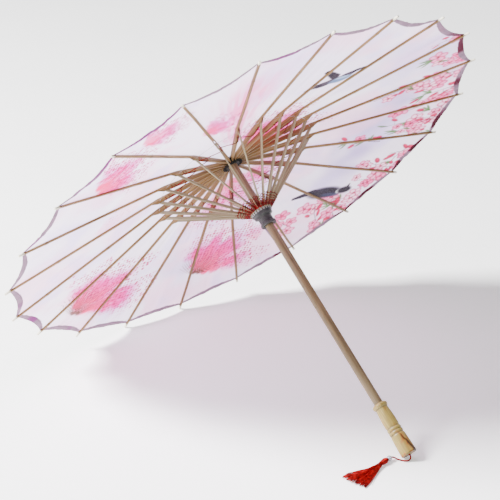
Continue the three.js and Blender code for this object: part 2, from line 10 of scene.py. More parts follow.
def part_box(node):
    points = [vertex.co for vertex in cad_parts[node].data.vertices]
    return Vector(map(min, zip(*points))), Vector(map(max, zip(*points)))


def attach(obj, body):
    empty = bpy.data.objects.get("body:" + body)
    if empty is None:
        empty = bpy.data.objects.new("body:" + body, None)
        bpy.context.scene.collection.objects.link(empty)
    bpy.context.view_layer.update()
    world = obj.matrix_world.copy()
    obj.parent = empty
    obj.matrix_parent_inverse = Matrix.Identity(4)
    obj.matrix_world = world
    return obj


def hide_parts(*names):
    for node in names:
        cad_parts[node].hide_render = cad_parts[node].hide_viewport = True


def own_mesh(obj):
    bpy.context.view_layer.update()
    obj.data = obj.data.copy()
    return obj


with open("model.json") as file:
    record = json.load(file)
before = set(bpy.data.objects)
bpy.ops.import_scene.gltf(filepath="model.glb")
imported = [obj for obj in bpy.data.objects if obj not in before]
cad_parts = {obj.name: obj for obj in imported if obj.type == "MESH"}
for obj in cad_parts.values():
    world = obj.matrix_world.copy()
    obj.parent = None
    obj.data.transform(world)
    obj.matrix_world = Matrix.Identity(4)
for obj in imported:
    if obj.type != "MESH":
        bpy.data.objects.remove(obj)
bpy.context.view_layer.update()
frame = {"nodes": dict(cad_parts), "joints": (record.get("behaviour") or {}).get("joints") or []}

MM = 0.001

# ---- sizes of the umbrella upright, in millimetres: pole on z, z = 0 where the ribs hinge on the crown ----
RIBS = 22
STEP = 2 * math.pi / RIBS
HINGE_R = 14.467
JOINT = (134.5, -11.0)  # where a stretcher meets its rib: radius and height
RUNNER_DROP = 91.0
RIM_R, RIM_DROP = 410.0, 47.0
HANDLE_TOP, HANDLE_END = 439.0, 525.0
POLE_R = 7.0
SLIT_IN, SLIT_OUT, SLIT_HALF = 42.0, 12.0, 1.2
RIB_TOP_JOINT, RIB_TOP_CROWN, RIB_LOW = 5.6, 4.5, -1.6
TIP_DEPTH = 2.9

# ---- where the leaning umbrella stands: read from the frame ----
slide = next(j for j in frame["joints"] if j["name"] == "runner_slide")
UP = -Vector(slide["axis"]).normalized()
CROWN = np.mean([tuple(corner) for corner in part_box("crown_tie_wire")], axis=0)
ACROSS = Vector((1, 0, 0))
TURN = np.array([ACROSS, UP.cross(ACROSS), UP])  # rows: the umbrella's own x, y and z


def placed(points):
    """Points of the upright umbrella in millimetres, as they lie in the frame in metres."""
    return np.asarray(points, float) * MM @ TURN + CROWN


# ---- camera: its place and its ways were fitted to the photograph ----
CAMERA_PLACE = (-1.4952, -1.7741, 1.2131)
CAMERA_RIGHT = Vector((0.77182, -0.63581, -0.00622)).normalized()
CAMERA_AHEAD = Vector((0.58354, 0.71218, -0.39023)).normalized()
camera_up = CAMERA_RIGHT.cross(CAMERA_AHEAD).normalized()
camera_rows = Matrix((CAMERA_AHEAD.cross(camera_up), camera_up, -CAMERA_AHEAD))
camera_data = bpy.data.cameras.new("camera")
camera_data.lens = 118.5
camera_data.sensor_width = 36
camera = bpy.data.objects.new("camera", camera_data)
camera.matrix_world = Matrix.Translation(CAMERA_PLACE) @ camera_rows.transposed().to_4x4()
bpy.context.scene.collection.objects.link(camera)
bpy.context.scene.camera = camera


# ---- meshes ----
class Shape:
    """Points, faces and each face's material number."""

    def __init__(self):
        self.points, self.faces, self.marks, self.count = [], [], [], 0

    def add(self, points, faces, mark=0):
        self.points.append(np.asarray(points, float))
        self.faces += [tuple(k + self.count for k in f) for f in faces]
        self.marks += [mark] * len(faces)
        self.count += len(points)
        return self

    def all_points(self):
        return np.concatenate(self.points)


def grid_faces(rows, columns, wrap=False):
    """Quads of a grid whose points run along its rows."""
    r, c = np.meshgrid(np.arange(rows - 1), np.arange(columns if wrap else columns - 1), indexing="ij")
    a = (r * columns + c).ravel()
    b = (r * columns + (c + 1) % columns).ravel()
    return [tuple(f) for f in np.stack([a, b, b + columns, a + columns], axis=1).tolist()]


def tube_faces(rows, sides):
    """The faces of a tube with closed ends, from its rings of points."""
    last = (rows - 1) * sides
    return grid_faces(rows, sides, wrap=True) + [tuple(range(sides))[::-1], tuple(range(last, last + sides))]


def smoothstep(low, high, x):
    t = np.clip((x - low) / (high - low), 0, 1)
    return t * t * (3 - 2 * t)


def near(x, centre, width):
    """1 at the centre, falling off over the width."""
    return np.exp(-(((x - centre) / width) ** 2))


def noise2(x, y, seed):
    """Smooth value noise from 0 to 1."""
    table = np.random.default_rng(seed).random((64, 64))
    i, j = np.floor(x).astype(int), np.floor(y).astype(int)
    u, v = smoothstep(0, 1, x - i), smoothstep(0, 1, y - j)
    left, right, low, high = i % 64, (i + 1) % 64, j % 64, (j + 1) % 64
    below = table[left, low] * (1 - u) + table[right, low] * u
    above = table[left, high] * (1 - u) + table[right, high] * u
    return below * (1 - v) + above * v


def cloudy(x, y, seed):
    """Noise of three sizes together."""
    sizes = ((0.55, 1), (0.3, 2.1), (0.15, 4.3))
    return sum(share * noise2(scale * x, scale * y, seed + k) for k, (share, scale) in enumerate(sizes))


def frames_along(path):
    """A way along and two ways across at each point of a path, without twist."""
    path = np.asarray(path, float)
    along = np.gradient(path, axis=0)
    along /= np.linalg.norm(along, axis=1)[:, None]
    side = np.cross(along[0], (0, 0, 1))
    if np.linalg.norm(side) < 0.1:
        side = np.cross(along[0], (1, 0, 0))
    sides = []
    for way in along:
        side = side - way * (side @ way)
        side = side / np.linalg.norm(side)
        sides.append(side)
    sides = np.array(sides)
    return along, sides, np.cross(along, sides)


def tube(path, radius, sides=6):
    """A round tube with closed ends along a path, as (points, faces)."""
    path = np.asarray(path, float)
    _, across, over = frames_along(path)
    radius = np.broadcast_to(np.asarray(radius, float), (len(path),))
    angle = np.linspace(0, 2 * math.pi, sides, endpoint=False)[None, :, None]
    ring = across[:, None, :] * np.cos(angle) + over[:, None, :] * np.sin(angle)
    points = path[:, None, :] + ring * radius[:, None, None]
    return points.reshape(-1, 3), tube_faces(len(path), sides)


def resampled(corners, step):
    """A polyline with points every step or closer, all its corners kept."""
    out = []
    for a, b in zip(corners[:-1], corners[1:]):
        a, b = np.asarray(a, float), np.asarray(b, float)
        n = max(1, int(math.ceil(np.linalg.norm(b - a) / step)))
        out += [a + (b - a) * k / n for k in range(n)]
    return np.array(out + [np.asarray(corners[-1], float)])


def softened(profile, passes):
    """Rounds a dense profile's corners, its two ends kept."""
    out = profile.copy()
    for _ in range(passes):
        out[1:-1] = (out[:-2] + 2 * out[1:-1] + out[2:]) / 4
    return out


def turned(profile, segments):
    """A ring of points round z for each [radius, z] of a profile, and the faces between the rings."""
    profile = np.asarray(profile, float)
    angle = np.linspace(0, 2 * math.pi, segments, endpoint=False)
    heights = np.repeat(profile[:, 1:], segments, axis=1)
    rings = np.stack([profile[:, :1] * np.cos(angle), profile[:, :1] * np.sin(angle), heights], axis=2)
    return rings.reshape(-1, 3), grid_faces(len(profile), segments, wrap=True)


def lathe(profile, segments):
    """A closed turned solid from [radius, z] points whose first and last lie on the axis."""
    points, faces = turned(profile[1:-1], segments)
    first, last, end = len(points), len(points) + 1, len(points) - segments
    for k in range(segments):
        following = (k + 1) % segments
        faces += [(first, following, k), (last, end + k, end + following)]
    return np.concatenate([points, [[0, 0, profile[0][1]], [0, 0, profile[-1][1]]]]), faces


def tube_ring(profile, segments):
    """A closed turned solid from a closed loop of [radius, z] points off the axis."""
    points, faces = turned(profile, segments)
    end = len(points) - segments
    for k in range(segments):
        following = (k + 1) % segments
        faces.append((end + k, end + following, following, k))
    return points, faces


def box_shape(x0, x1, y0, y1, z0, z1, turn=0.0):
    """A box turned about z, as (points, faces)."""
    corners = np.array([(x, y, z) for x in (x0, x1) for y in (y0, y1) for z in (z0, z1)], float)
    c, s = math.cos(turn), math.sin(turn)
    corners[:, :2] = corners[:, :2] @ np.array([[c, s], [-s, c]])
    return corners, [(0, 1, 3, 2), (4, 6, 7, 5), (0, 4, 5, 1), (2, 3, 7, 6), (0, 2, 6, 4), (1, 5, 7, 3)]


def mesh_object(name, points, faces):
    """A new object in the scene."""
    mesh = bpy.data.meshes.new(name)
    mesh.from_pydata(np.asarray(points).tolist(), [], faces)
    obj = bpy.data.objects.new(name, mesh)
    bpy.context.scene.collection.objects.link(obj)
    return obj


def carved(points, faces, cutters, bevel=0.0):
    """The solid less its cutters, its edges rounded, as (points, faces)."""
    cutter_shape = Shape()
    for cutter in cutters:
        cutter_shape.add(*cutter)
    solid = mesh_object("solid_in_work", points, faces)
    cutter = mesh_object("cutter_in_work", cutter_shape.all_points(), cutter_shape.faces)
    for mesh in (solid.data, cutter.data):
        mesh.validate()
        mesh.update()
        bm = bmesh.new()
        bm.from_mesh(mesh)
        bmesh.ops.recalc_face_normals(bm, faces=bm.faces)
        bm.to_mesh(mesh)
        bm.free()
    cut = solid.modifiers.new("cut", "BOOLEAN")
    cut.object = cutter
    cut.operation = "DIFFERENCE"
    cut.solver = "EXACT"
    cut.use_self = True
    if bevel:
        edge = solid.modifiers.new("edge", "BEVEL")
        edge.width = bevel
        edge.segments = 2
        edge.limit_method = "ANGLE"
        edge.angle_limit = math.radians(35)
        edge.use_clamp_overlap = True
    bpy.context.view_layer.update()
    made = solid.evaluated_get(bpy.context.evaluated_depsgraph_get()).to_mesh()
    out_points = np.zeros(len(made.vertices) * 3)
    made.vertices.foreach_get("co", out_points)
    out_faces = [tuple(p.vertices) for p in made.polygons]
    for obj in (solid, cutter):
        mesh = obj.data
        bpy.data.objects.remove(obj)
        bpy.data.meshes.remove(mesh)
    return out_points.reshape(-1, 3), out_faces


def piece(name, points, faces, materials, body, *, node=None, grain=None, marks=None, colors=None,
          sharp=None, in_frame=False):
    """A finished piece. Its own upright place in millimetres is kept as the attribute "grain", in metres."""
    points = np.asarray(points, float)
    obj = mesh_object(name, points * MM if in_frame else placed(points), faces)
    mesh = obj.data
    for material in materials:
        mesh.materials.append(material)
    if marks is not None:
        mesh.polygons.foreach_set("material_index", np.asarray(marks, np.int32))
    mesh.polygons.foreach_set("use_smooth", np.ones(len(mesh.polygons), bool))
    layer = mesh.attributes.new("grain", "FLOAT_VECTOR", "POINT")
    own_place = np.asarray(points if grain is None else grain, float) * MM
    layer.data.foreach_set("vector", own_place.astype(np.float32).ravel())
    for key, values in (colors or {}).items():
        layer = mesh.attributes.new(key, "FLOAT_COLOR", "POINT")
        rgba = np.concatenate([values, np.ones((len(values), 1))], axis=1)
        layer.data.foreach_set("color", rgba.astype(np.float32).ravel())
    mesh.update()
    if sharp is not None:
        mesh.set_sharp_from_angle(angle=math.radians(sharp))
    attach(obj, body)
    if node:
        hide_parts(node)
    return obj


# ---- materials: colours are given as 0 to 255 in each channel ----
def linear(rgb):
    """The shader's linear values of a colour, or of rows of colours."""
    share = np.asarray(rgb, float) / 255
    return np.where(share <= 0.04045, share / 12.92, ((share + 0.055) / 1.055) ** 2.4)


def shaded(color, share):
    return tuple(share * c for c in color)


class Look:
    """A material made of nodes, built up step by step."""

    def __init__(self, name, roughness=0.5, **sockets):
        self.material = bpy.data.materials.new(name)
        self.material.use_nodes = True
        self.tree = self.material.node_tree
        self.bsdf = self.tree.nodes["Principled BSDF"]
        self.bsdf.inputs["Roughness"].default_value = roughness
        for key, value in sockets.items():
            self.bsdf.inputs[key.replace("_", " ")].default_value = value

    def node(self, kind, **values):
        node = self.tree.nodes.new(kind)
        for key, value in values.items():
            setattr(node, key, value)
        return node

    def link(self, a, b):
        self.tree.links.new(a, b)

    def feed(self, socket, value):
        """Links an output to a socket, or sets it to a number or a colour."""
        if hasattr(value, "links"):
            self.link(value, socket)
        elif isinstance(value, (int, float)):
            socket.default_value = value
        else:
            socket.default_value = (*linear(value), 1)

    def place(self, stretch=(1, 1, 1), object_space=False):
        """The piece's own coordinates, scaled."""
        if object_space:
            source = self.node("ShaderNodeTexCoord").outputs["Object"]
        else:
            source = self.node("ShaderNodeAttribute", attribute_name="grain").outputs["Vector"]
        mapping = self.node("ShaderNodeMapping")
        mapping.inputs["Scale"].default_value = stretch
        self.link(source, mapping.inputs["Vector"])
        return mapping.outputs["Vector"]

    def noise(self, scale, stretch=(1, 1, 1), detail=3.0, distortion=0.0, object_space=False):
        node = self.node("ShaderNodeTexNoise")
        node.inputs["Scale"].default_value = scale
        node.inputs["Detail"].default_value = detail
        node.inputs["Distortion"].default_value = distortion
        self.link(self.place(stretch, object_space), node.inputs["Vector"])
        return node.outputs["Fac"]

    def wave(self, scale, direction):
        node = self.node("ShaderNodeTexWave", bands_direction=direction)
        node.inputs["Scale"].default_value = scale
        self.link(self.place(), node.inputs["Vector"])
        return node.outputs["Fac"]

    def painted(self, name):
        return self.node("ShaderNodeAttribute", attribute_name=name).outputs["Color"]

    def channels(self, name):
        """The red, green and blue of a painted attribute."""
        node = self.node("ShaderNodeSeparateColor")
        self.link(self.painted(name), node.inputs["Color"])
        return list(node.outputs)

    def ramp(self, factor, positions, tones):
        node = self.node("ShaderNodeValToRGB")
        elements = node.color_ramp.elements
        while len(elements) < len(tones):
            elements.new(0.5)
        for element, position, tone in zip(elements, positions, tones):
            element.position = position
            element.color = (*linear(tone), 1)
        self.link(factor, node.inputs["Fac"])
        return node.outputs["Color"]

    def level(self, factor, low, high, to_low=0.0, to_high=1.0):
        """A factor's range low to high, stretched to another range."""
        node = self.node("ShaderNodeMapRange")
        for socket, value in zip(("From Min", "From Max", "To Min", "To Max"), (low, high, to_low, to_high)):
            node.inputs[socket].default_value = value
        self.link(factor, node.inputs["Value"])
        return node.outputs["Result"]

    def mix(self, factor, a, b, blend="MIX"):
        node = self.node("ShaderNodeMix", data_type="RGBA", blend_type=blend)
        for socket, value in ((node.inputs[0], factor), (node.inputs[6], a), (node.inputs[7], b)):
            self.feed(socket, value)
        return node.outputs[2]

    def combined(self, operation, a, b):
        node = self.node("ShaderNodeMath", operation=operation)
        self.feed(node.inputs[0], a)
        self.feed(node.inputs[1], b)
        return node.outputs[0]

    def color(self, source):
        self.link(source, self.bsdf.inputs["Base Color"])
        return self

    def rough(self, factor, low, high):
        self.link(self.level(factor, 0, 1, low, high), self.bsdf.inputs["Roughness"])
        return self

    def bump(self, height, strength, distance):
        node = self.node("ShaderNodeBump")
        node.inputs["Strength"].default_value = strength
        node.inputs["Distance"].default_value = distance
        self.link(height, node.inputs["Height"])
        if self.bsdf.inputs["Normal"].links:
            self.link(self.bsdf.inputs["Normal"].links[0].from_socket, node.inputs["Normal"])
        self.link(node.outputs["Normal"], self.bsdf.inputs["Normal"])
        return self


def fibrous(look, tones, fine=(1600, 1600, 30), broad=(220, 220, 9)):
    """Wood or bamboo along z: its colour, its fine fibres and its broad streaks."""
    fibres = look.noise(1.0, fine, detail=4)
    streaks = look.noise(1.0, broad, detail=2)
    shares = [look.combined("MULTIPLY", part, share) for part, share in ((fibres, 0.55), (streaks, 0.45))]
    return look.ramp(look.combined("ADD", *shares), (0.36, 0.5, 0.64), tones), fibres, streaks


def rib_look():
    """Split bamboo. The attribute "wear" holds knots (red), the pale tip (green) and darkening near the crown
    and past the joint (blue).
    """
    look = Look("rib_bamboo_look", 0.5, Specular_IOR_Level=0.4)
    tones = ((90, 62, 30), (122, 92, 50), (152, 122, 76))
    color, fibres, streaks = fibrous(look, tones)
    knot, tip, dark_near_crown_and_joint = look.channels("wear")
    color = look.mix(look.combined("MULTIPLY", knot, 0.75), color, shaded(tones[0], 0.6))
    color = look.mix(tip, color, (226, 220, 202))
    color = look.mix(look.combined("MULTIPLY", dark_near_crown_and_joint, 0.8), color, tones[0])
    look.color(color).rough(fibres, 0.42, 0.66)
    look.bump(fibres, 0.35, 0.0003).bump(streaks, 0.25, 0.0004)
    return look.material


def stretcher_look():
    look = Look("stretcher_bamboo_look", 0.55, Specular_IOR_Level=0.35)
    color, fibres, _ = fibrous(look, ((102, 90, 64), (130, 118, 88), (156, 144, 114)))
    look.color(color).rough(fibres, 0.45, 0.7).bump(fibres, 0.35, 0.0003)
    return look.material


def pole_look():
    """Bamboo that turns greyer towards the handle."""
    look = Look("pole_look", 0.45, Specular_IOR_Level=0.45)
    tones = ((88, 70, 44), (112, 92, 60), (138, 116, 80))
    color, fibres, streaks = fibrous(look, tones, (900, 900, 14), (160, 160, 5))
    place = look.node("ShaderNodeSeparateXYZ")
    look.link(look.place(), place.inputs["Vector"])
    greyer = look.level(place.outputs["Z"], -0.25, -0.46, 0, 0.45)
    look.color(look.mix(greyer, color, (122, 108, 82))).rough(fibres, 0.38, 0.6)
    look.bump(fibres, 0.3, 0.0003).bump(streaks, 0.2, 0.0005)
    return look.material


def handle_look():
    """Turned wood. Its colour attribute holds dark cracks, painted groove shade and a darker end (red), and
    brown blotches (green).
    """
    look = Look("turned_wood_look", 0.42, Specular_IOR_Level=0.5, Coat_Weight=0.15, Coat_Roughness=0.3)
    tones = ((116, 96, 40), (146, 126, 60), (174, 154, 86))
    color, fibres, _ = fibrous(look, tones, (700, 700, 16), (120, 120, 9))
    dark, brown, _ = look.channels("stain_and_shade")
    color = look.mix(dark, look.mix(brown, color, (150, 84, 26)), (40, 22, 10))
    look.color(color).rough(fibres, 0.34, 0.55).bump(fibres, 0.25, 0.0003)
    return look.material


def silk(name, *tones):
    look = Look(name, 0.55, Specular_IOR_Level=0.12)
    look.color(look.ramp(look.noise(260), (0.3, 0.5, 0.7), tones))
    look.bump(look.noise(1800, detail=2), 0.3, 0.0002)
    return look.material


def plastic(name, tones, roughness, grime):
    """Moulded plastic with dust in patches."""
    look = Look(name, roughness, Specular_IOR_Level=0.22)
    color = look.ramp(look.noise(140, detail=4), (0.2, 0.5, 0.8), tones)
    dust = look.level(look.noise(420), 0.55, 0.85, 0, grime)
    look.color(look.mix(dust, color, shaded(tones[1], 2.0)))
    look.rough(look.noise(300, detail=2), roughness - 0.1, roughness + 0.18)
    look.bump(look.noise(1500), 0.15, 0.0001)
    return look.material


def metal(name, tone, roughness):
    look = Look(name, roughness, Metallic=1.0)
    spots = look.noise(500, object_space=True)
    look.color(look.ramp(spots, (0.35, 0.6), (shaded(tone, 0.7), tone)))
    look.rough(spots, roughness, roughness + 0.25)
    look.bump(look.noise(1500, detail=2, object_space=True), 0.2, 0.0001)
    return look.material


def bead_look():
    """White glaze with grey clouds."""
    look = Look(
        "white_bead_look", 0.16, Coat_Weight=0.6, Coat_Roughness=0.08, Subsurface_Weight=0.15,
        Subsurface_Scale=0.003,
    )
    clouds = look.noise(320, distortion=0.8)
    look.color(look.ramp(clouds, (0.35, 0.5, 0.62), ((126, 128, 142), (158, 160, 174), (190, 192, 204))))
    look.bump(look.noise(240, detail=2), 0.12, 0.0004)
    return look.material


def cloth_look():
    """Thin woven cloth that lets light through, in the colours of the attribute "print"."""
    look = Look("canopy_cloth_look", 0.85, Specular_IOR_Level=0.08)
    fibre, wash = look.noise(900, detail=2), look.noise(24, detail=4, distortion=0.6)
    color = look.mix(look.level(fibre, 0.3, 0.7, 0, 0.1), look.painted("print"), (214, 198, 222))
    color = look.mix(look.level(wash, 0.35, 0.7, 0, 0.08), color, (205, 190, 235), "MULTIPLY")
    look.color(color)
    for direction in "XY":
        look.bump(look.wave(1100, direction), 0.12, 0.00015)
    look.bump(look.noise(60, distortion=0.5), 0.35, 0.0012)
    through = look.node("ShaderNodeBsdfTranslucent")
    look.link(color, through.inputs["Color"])
    both = look.node("ShaderNodeMixShader")
    both.inputs[0].default_value = 0.46
    look.link(look.bsdf.outputs[0], both.inputs[1])
    look.link(through.outputs[0], both.inputs[2])
    look.link(both.outputs[0], look.tree.nodes["Material Output"].inputs["Surface"])
    return look.material


rib_bamboo, stretcher_bamboo, pole_wood, turned_wood = rib_look(), stretcher_look(), pole_look(), handle_look()
black_plastic = plastic("black_plastic_look", ((14, 13, 9), (22, 20, 14), (38, 35, 24)), 0.6, 0.1)
grey_plastic = plastic("grey_plastic_look", ((44, 44, 44), (58, 58, 57), (78, 78, 76)), 0.38, 0.12)
# A pale copy of the grey plastic, for painted highlight on the runner's teeth.
tooth_highlight_plastic = plastic("rubbed_plastic_look", ((120, 120, 118), (160, 160, 156), (190, 190, 186)), 0.45, 0.0)
steel_wire = metal("steel_wire_look", (40, 37, 30), 0.55)
spring_steel = metal("spring_steel_look", (176, 178, 184), 0.22)
red_silk = silk("red_silk_look", (40, 0, 0), (122, 0, 0), (176, 0, 1))
red_thread = silk("red_thread_look", (40, 0, 0), (108, 0, 2), (150, 1, 6))
grey_thread = silk("grey_thread_look", (120, 112, 118), (156, 148, 156), (186, 180, 186))
white_bead, canopy_cloth = bead_look(), cloth_look()

# ---- the tassel's cord: its route is the CAD cord's, in metres ----
mouth = placed([0, 0, -HANDLE_END])
out_of_handle = -np.array(UP)
tassel_way = np.array([-0.991, -0.134, 0.0])
tassel_way /= np.linalg.norm(tassel_way)
bead_at = np.array([mouth[0] - 0.026, mouth[1] + 0.0149, 0.0048])
CORD_ROUTE = [
    (-0.3, -2.2, 7.4), (-1.4, -4, 5.5), (-3.2, -4.9, 3.8), (-5.6, -4.5, 2.5), (-7.9, -2.8, 1.8),
    (-9.8, -0.2, 1.5), (-11.4, 2.8, 1.5), (-13, 6, 1.5), (-14.4, 9.3, 1.8), (-16.1, 12.3, 2.8),
    (-18.3, 14.6, 4.1),
]
route = [mouth - 0.010 * out_of_handle, mouth - 0.005 * out_of_handle, mouth]
route += [np.array([mouth[0] + x * MM, mouth[1] + y * MM, z * MM]) for x, y, z in CORD_ROUTE]
route += [bead_at + s * MM * tassel_way for s in (-4.1, 0, 7.5, 17, 30)]


def between(t, t0, t1, a, b):
    """The point at t on the line from a at t0 to b at t1."""
    return (t1 - t) / (t1 - t0) * a + (t - t0) / (t1 - t0) * b


def spline(points, per_span):
    """A centripetal Catmull-Rom curve through the points."""
    points = np.asarray(points, float)
    points = np.concatenate([[2 * points[0] - points[1]], points, [2 * points[-1] - points[-2]]])
    out = []
    for p0, p1, p2, p3 in zip(points[:-3], points[1:-2], points[2:-1], points[3:]):
        t1 = np.linalg.norm(p1 - p0) ** 0.5
        t2 = t1 + np.linalg.norm(p2 - p1) ** 0.5
        t3 = t2 + np.linalg.norm(p3 - p2) ** 0.5
        for t in np.linspace(t1, t2, per_span, endpoint=False):
            a1, a2, a3 = between(t, 0, t1, p0, p1), between(t, t1, t2, p1, p2), between(t, t2, t3, p2, p3)
            b1, b2 = between(t, 0, t2, a1, a2), between(t, t1, t3, a2, a3)
            out.append(between(t, t1, t2, b1, b2))
    return np.array(out + [points[-2]])


PLIES, LAY = 3, 0.0045
PLY_R, PLY_OFFSET = 0.66, 0.00061
cord_path = spline(route, 8)
cord_steps = np.concatenate([[0], np.cumsum(np.linalg.norm(np.diff(cord_path, axis=0), axis=1))])
cord_shape = Shape()
_, cord_side, cord_over = frames_along(cord_path)
for ply in range(PLIES):
    twist = 2 * math.pi * (cord_steps / LAY + ply / PLIES)[:, None]
    ply_path = cord_path + PLY_OFFSET * (np.cos(twist) * cord_side + np.sin(twist) * cord_over)
    cord_shape.add(*tube(ply_path / MM, PLY_R, 8))
cord = piece(
    "tassel_cord_twisted", cord_shape.all_points(), cord_shape.faces, [red_silk], "root",
    node="tassel_cord", in_frame=True,
)

# ---- tassel: bead, wound head and skirt, drawn along x from the bead's middle ----
tassel_turn = math.atan2(tassel_way[1], tassel_way[0])


def laid(points):
    """Points drawn along the tassel's way, as they lie in the frame, in millimetres."""
    c, s = math.cos(tassel_turn), math.sin(tassel_turn)
    return points @ np.array([[c, s, 0], [-s, c, 0], [0, 0, 1]]) + bead_at / MM


def laid_turned(points):
    """Points of a shape turned round z, laid with its axis along the tassel's way."""
    return laid(points[:, [2, 0, 1]])


def wound(points):
    """Fine windings of thread round the head."""
    radius = np.linalg.norm(points[:, :2], axis=1)
    angle = np.arctan2(points[:, 1], points[:, 0])
    depth = 0.14 * np.cos(2 * math.pi * (points[:, 2] / 0.75) + angle)
    share = np.where(radius > 2.2, (radius + depth - 0.16) / radius, 1)
    return points * np.stack([share, share, np.ones(len(points))], axis=1)


BEAD_LOOP = [(1.9, -3.8), (2.7, -3.8), (4.1, -1.9), (4.4, 0), (4.1, 1.9), (2.7, 3.8), (1.9, 3.8)]
bead_points, bead_faces = tube_ring(softened(resampled(BEAD_LOOP, 0.25), 6), 40)
bead = piece(
    "tassel_bead_glazed", laid_turned(bead_points), bead_faces, [white_bead], "root",
    node="tassel_bead", in_frame=True,
)

HEAD_LOOP = [
    (1.9, 4.1), (2.6, 4.1), (4.2, 7.3), (4.6, 11.3), (3.9, 16.1), (2.8, 17.7), (3.45, 20.1), (1.9, 20.1),
]
head_points, head_faces = tube_ring(softened(resampled(HEAD_LOOP, 0.12), 8), 40)
head = piece(
    "tassel_head_wound", laid_turned(wound(head_points)), head_faces, [red_silk], "root",
    node="tassel_head", in_frame=True,
)

SKIRT_THREADS = 260
SKIRT_START, SKIRT_LENGTH, SKIRT_TOP_HALF, SKIRT_END_HALF = 20.4, 66, 3.4, 22.8
FLOOR = 0.2 - bead_at[2] / MM  # the lowest thread's height, from the bead's middle


def skirt_thread(rng, t):
    """One thread's way through the skirt, its side, height, length and wobble drawn by chance."""
    side, layer = rng.uniform(-1, 1), rng.uniform(0, 1)
    share = 1 - 0.2 * rng.random() ** 2 - 0.06 * abs(side) - 0.05 * math.sin(9 * side + 1) ** 2
    spread = SKIRT_TOP_HALF + (SKIRT_END_HALF - SKIRT_TOP_HALF) * t ** (1.35 if side < 0 else 1.1)
    wobble = 0.7 * np.sin(2 * math.pi * (t * rng.uniform(0.8, 2.2) + rng.random())) * t
    y = np.clip(side * spread + wobble * (1 - 0.4 * abs(side)), -23.4, 23.4)
    top = np.interp(t, [0, 0.25, 0.65, 1], [7.0, 6.9, 5.4, 3.6])
    z = FLOOR + 0.45 + layer * (top - 0.9) * (1 - 0.75 * abs(side) ** 2.2)
    z[:4] = np.interp(t[:4], [0, t[4]], [FLOOR + 3.5 + 2.4 * (layer - 0.5), z[4]])
    return np.stack([SKIRT_START + t * (SKIRT_LENGTH * share), y, z], axis=1)


rng = np.random.default_rng(11)
skirt_shape = Shape()
t = np.linspace(0, 1, 15)
for _ in range(SKIRT_THREADS):
    skirt_shape.add(*tube(laid(skirt_thread(rng, t)), 0.42 * np.interp(t, [0, 0.9, 1], [1, 1, 0.55]), 5))
skirt = piece(
    "tassel_skirt_threads", skirt_shape.all_points(), skirt_shape.faces, [red_silk], "root",
    node="tassel_skirt", in_frame=True,
)

# ---- places on the umbrella: along a rib, and along a stretcher ----
INNER_LENGTH = math.hypot(JOINT[0] - HINGE_R, JOINT[1])
TIP_TOP = -RIM_DROP + TIP_DEPTH / 2
TIP_LINE = (RIM_R, TIP_TOP - RIB_TOP_JOINT)
OUTER_LENGTH = math.hypot(TIP_LINE[0] - JOINT[0], TIP_LINE[1] - JOINT[1])
RIB_LENGTH = INNER_LENGTH + OUTER_LENGTH
INNER_SLOPE = math.atan2(JOINT[1], JOINT[0] - HINGE_R)
OUTER_SLOPE = math.atan2(TIP_LINE[1] - JOINT[1], TIP_LINE[0] - JOINT[0])
STRUT_RISE = (JOINT[0] - HINGE_R, JOINT[1] + RUNNER_DROP)
STRUT_LENGTH = math.hypot(*STRUT_RISE)
STRUT_SLOPE = math.atan2(STRUT_RISE[1], STRUT_RISE[0])


def azimuth(i):
    return math.pi / 2 + (i + 0.5) * STEP


def spoke(i, r, y, z):
    """Points at r out along rib i's azimuth, y across and z up, in the umbrella's own frame."""
    c, s = math.cos(azimuth(i)), math.sin(azimuth(i))
    return np.stack([r * c - y * s, r * s + y * c, z], axis=-1)


def rib_point(i, along, y, h):
    """A point of rib i: its distance from the crown's hinge, y across, and h above the hinge line."""
    along, y, h = np.broadcast_arrays(*(np.asarray(v, float) for v in (along, y, h)))
    past = np.maximum(along - INNER_LENGTH, 0)
    before = np.minimum(along, INNER_LENGTH)
    slope = np.interp(along, [INNER_LENGTH - 2, INNER_LENGTH + 2], [INNER_SLOPE, OUTER_SLOPE])
    r = HINGE_R + before * math.cos(INNER_SLOPE) + past * math.cos(OUTER_SLOPE) - h * np.sin(slope)
    z = before * math.sin(INNER_SLOPE) + past * math.sin(OUTER_SLOPE) + h * np.cos(slope)
    return spoke(i, r, y, z)


def strut_point(i, along, y, h):
    """A point of stretcher i: its distance from the runner's hinge, y across, and h above its middle."""
    along, y, h = np.broadcast_arrays(*(np.asarray(v, float) for v in (along, y, h)))
    c, s = math.cos(STRUT_SLOPE), math.sin(STRUT_SLOPE)
    return spoke(i, HINGE_R + along * c - h * s, y, -RUNNER_DROP + along * s + h * c)


def rounded_bar(along, low, high, foot, head, corner):
    """A bar with a round-cornered section at each place along it, as points (along, y, h) and faces."""
    zero = np.zeros_like(along)
    section = ((-foot / 2, low), (foot / 2, low), (head / 2, high), (-head / 2, high))
    corners = [np.stack([y + zero, h + zero], 1) for y, h in section]
    ring = []
    for before, here, after in zip(corners[-1:] + corners[:-1], corners, corners[1:] + corners[:1]):
        back, on = [way / np.linalg.norm(way, axis=1)[:, None] for way in (before - here, after - here)]
        ring += [here + corner * back, here + 0.3 * corner * (back + on), here + corner * on]
    ring = np.stack(ring, 1)
    places = np.repeat(along[:, None, None], ring.shape[1], 1)
    return np.concatenate([places, ring], axis=2).reshape(-1, 3), tube_faces(len(along), ring.shape[1])


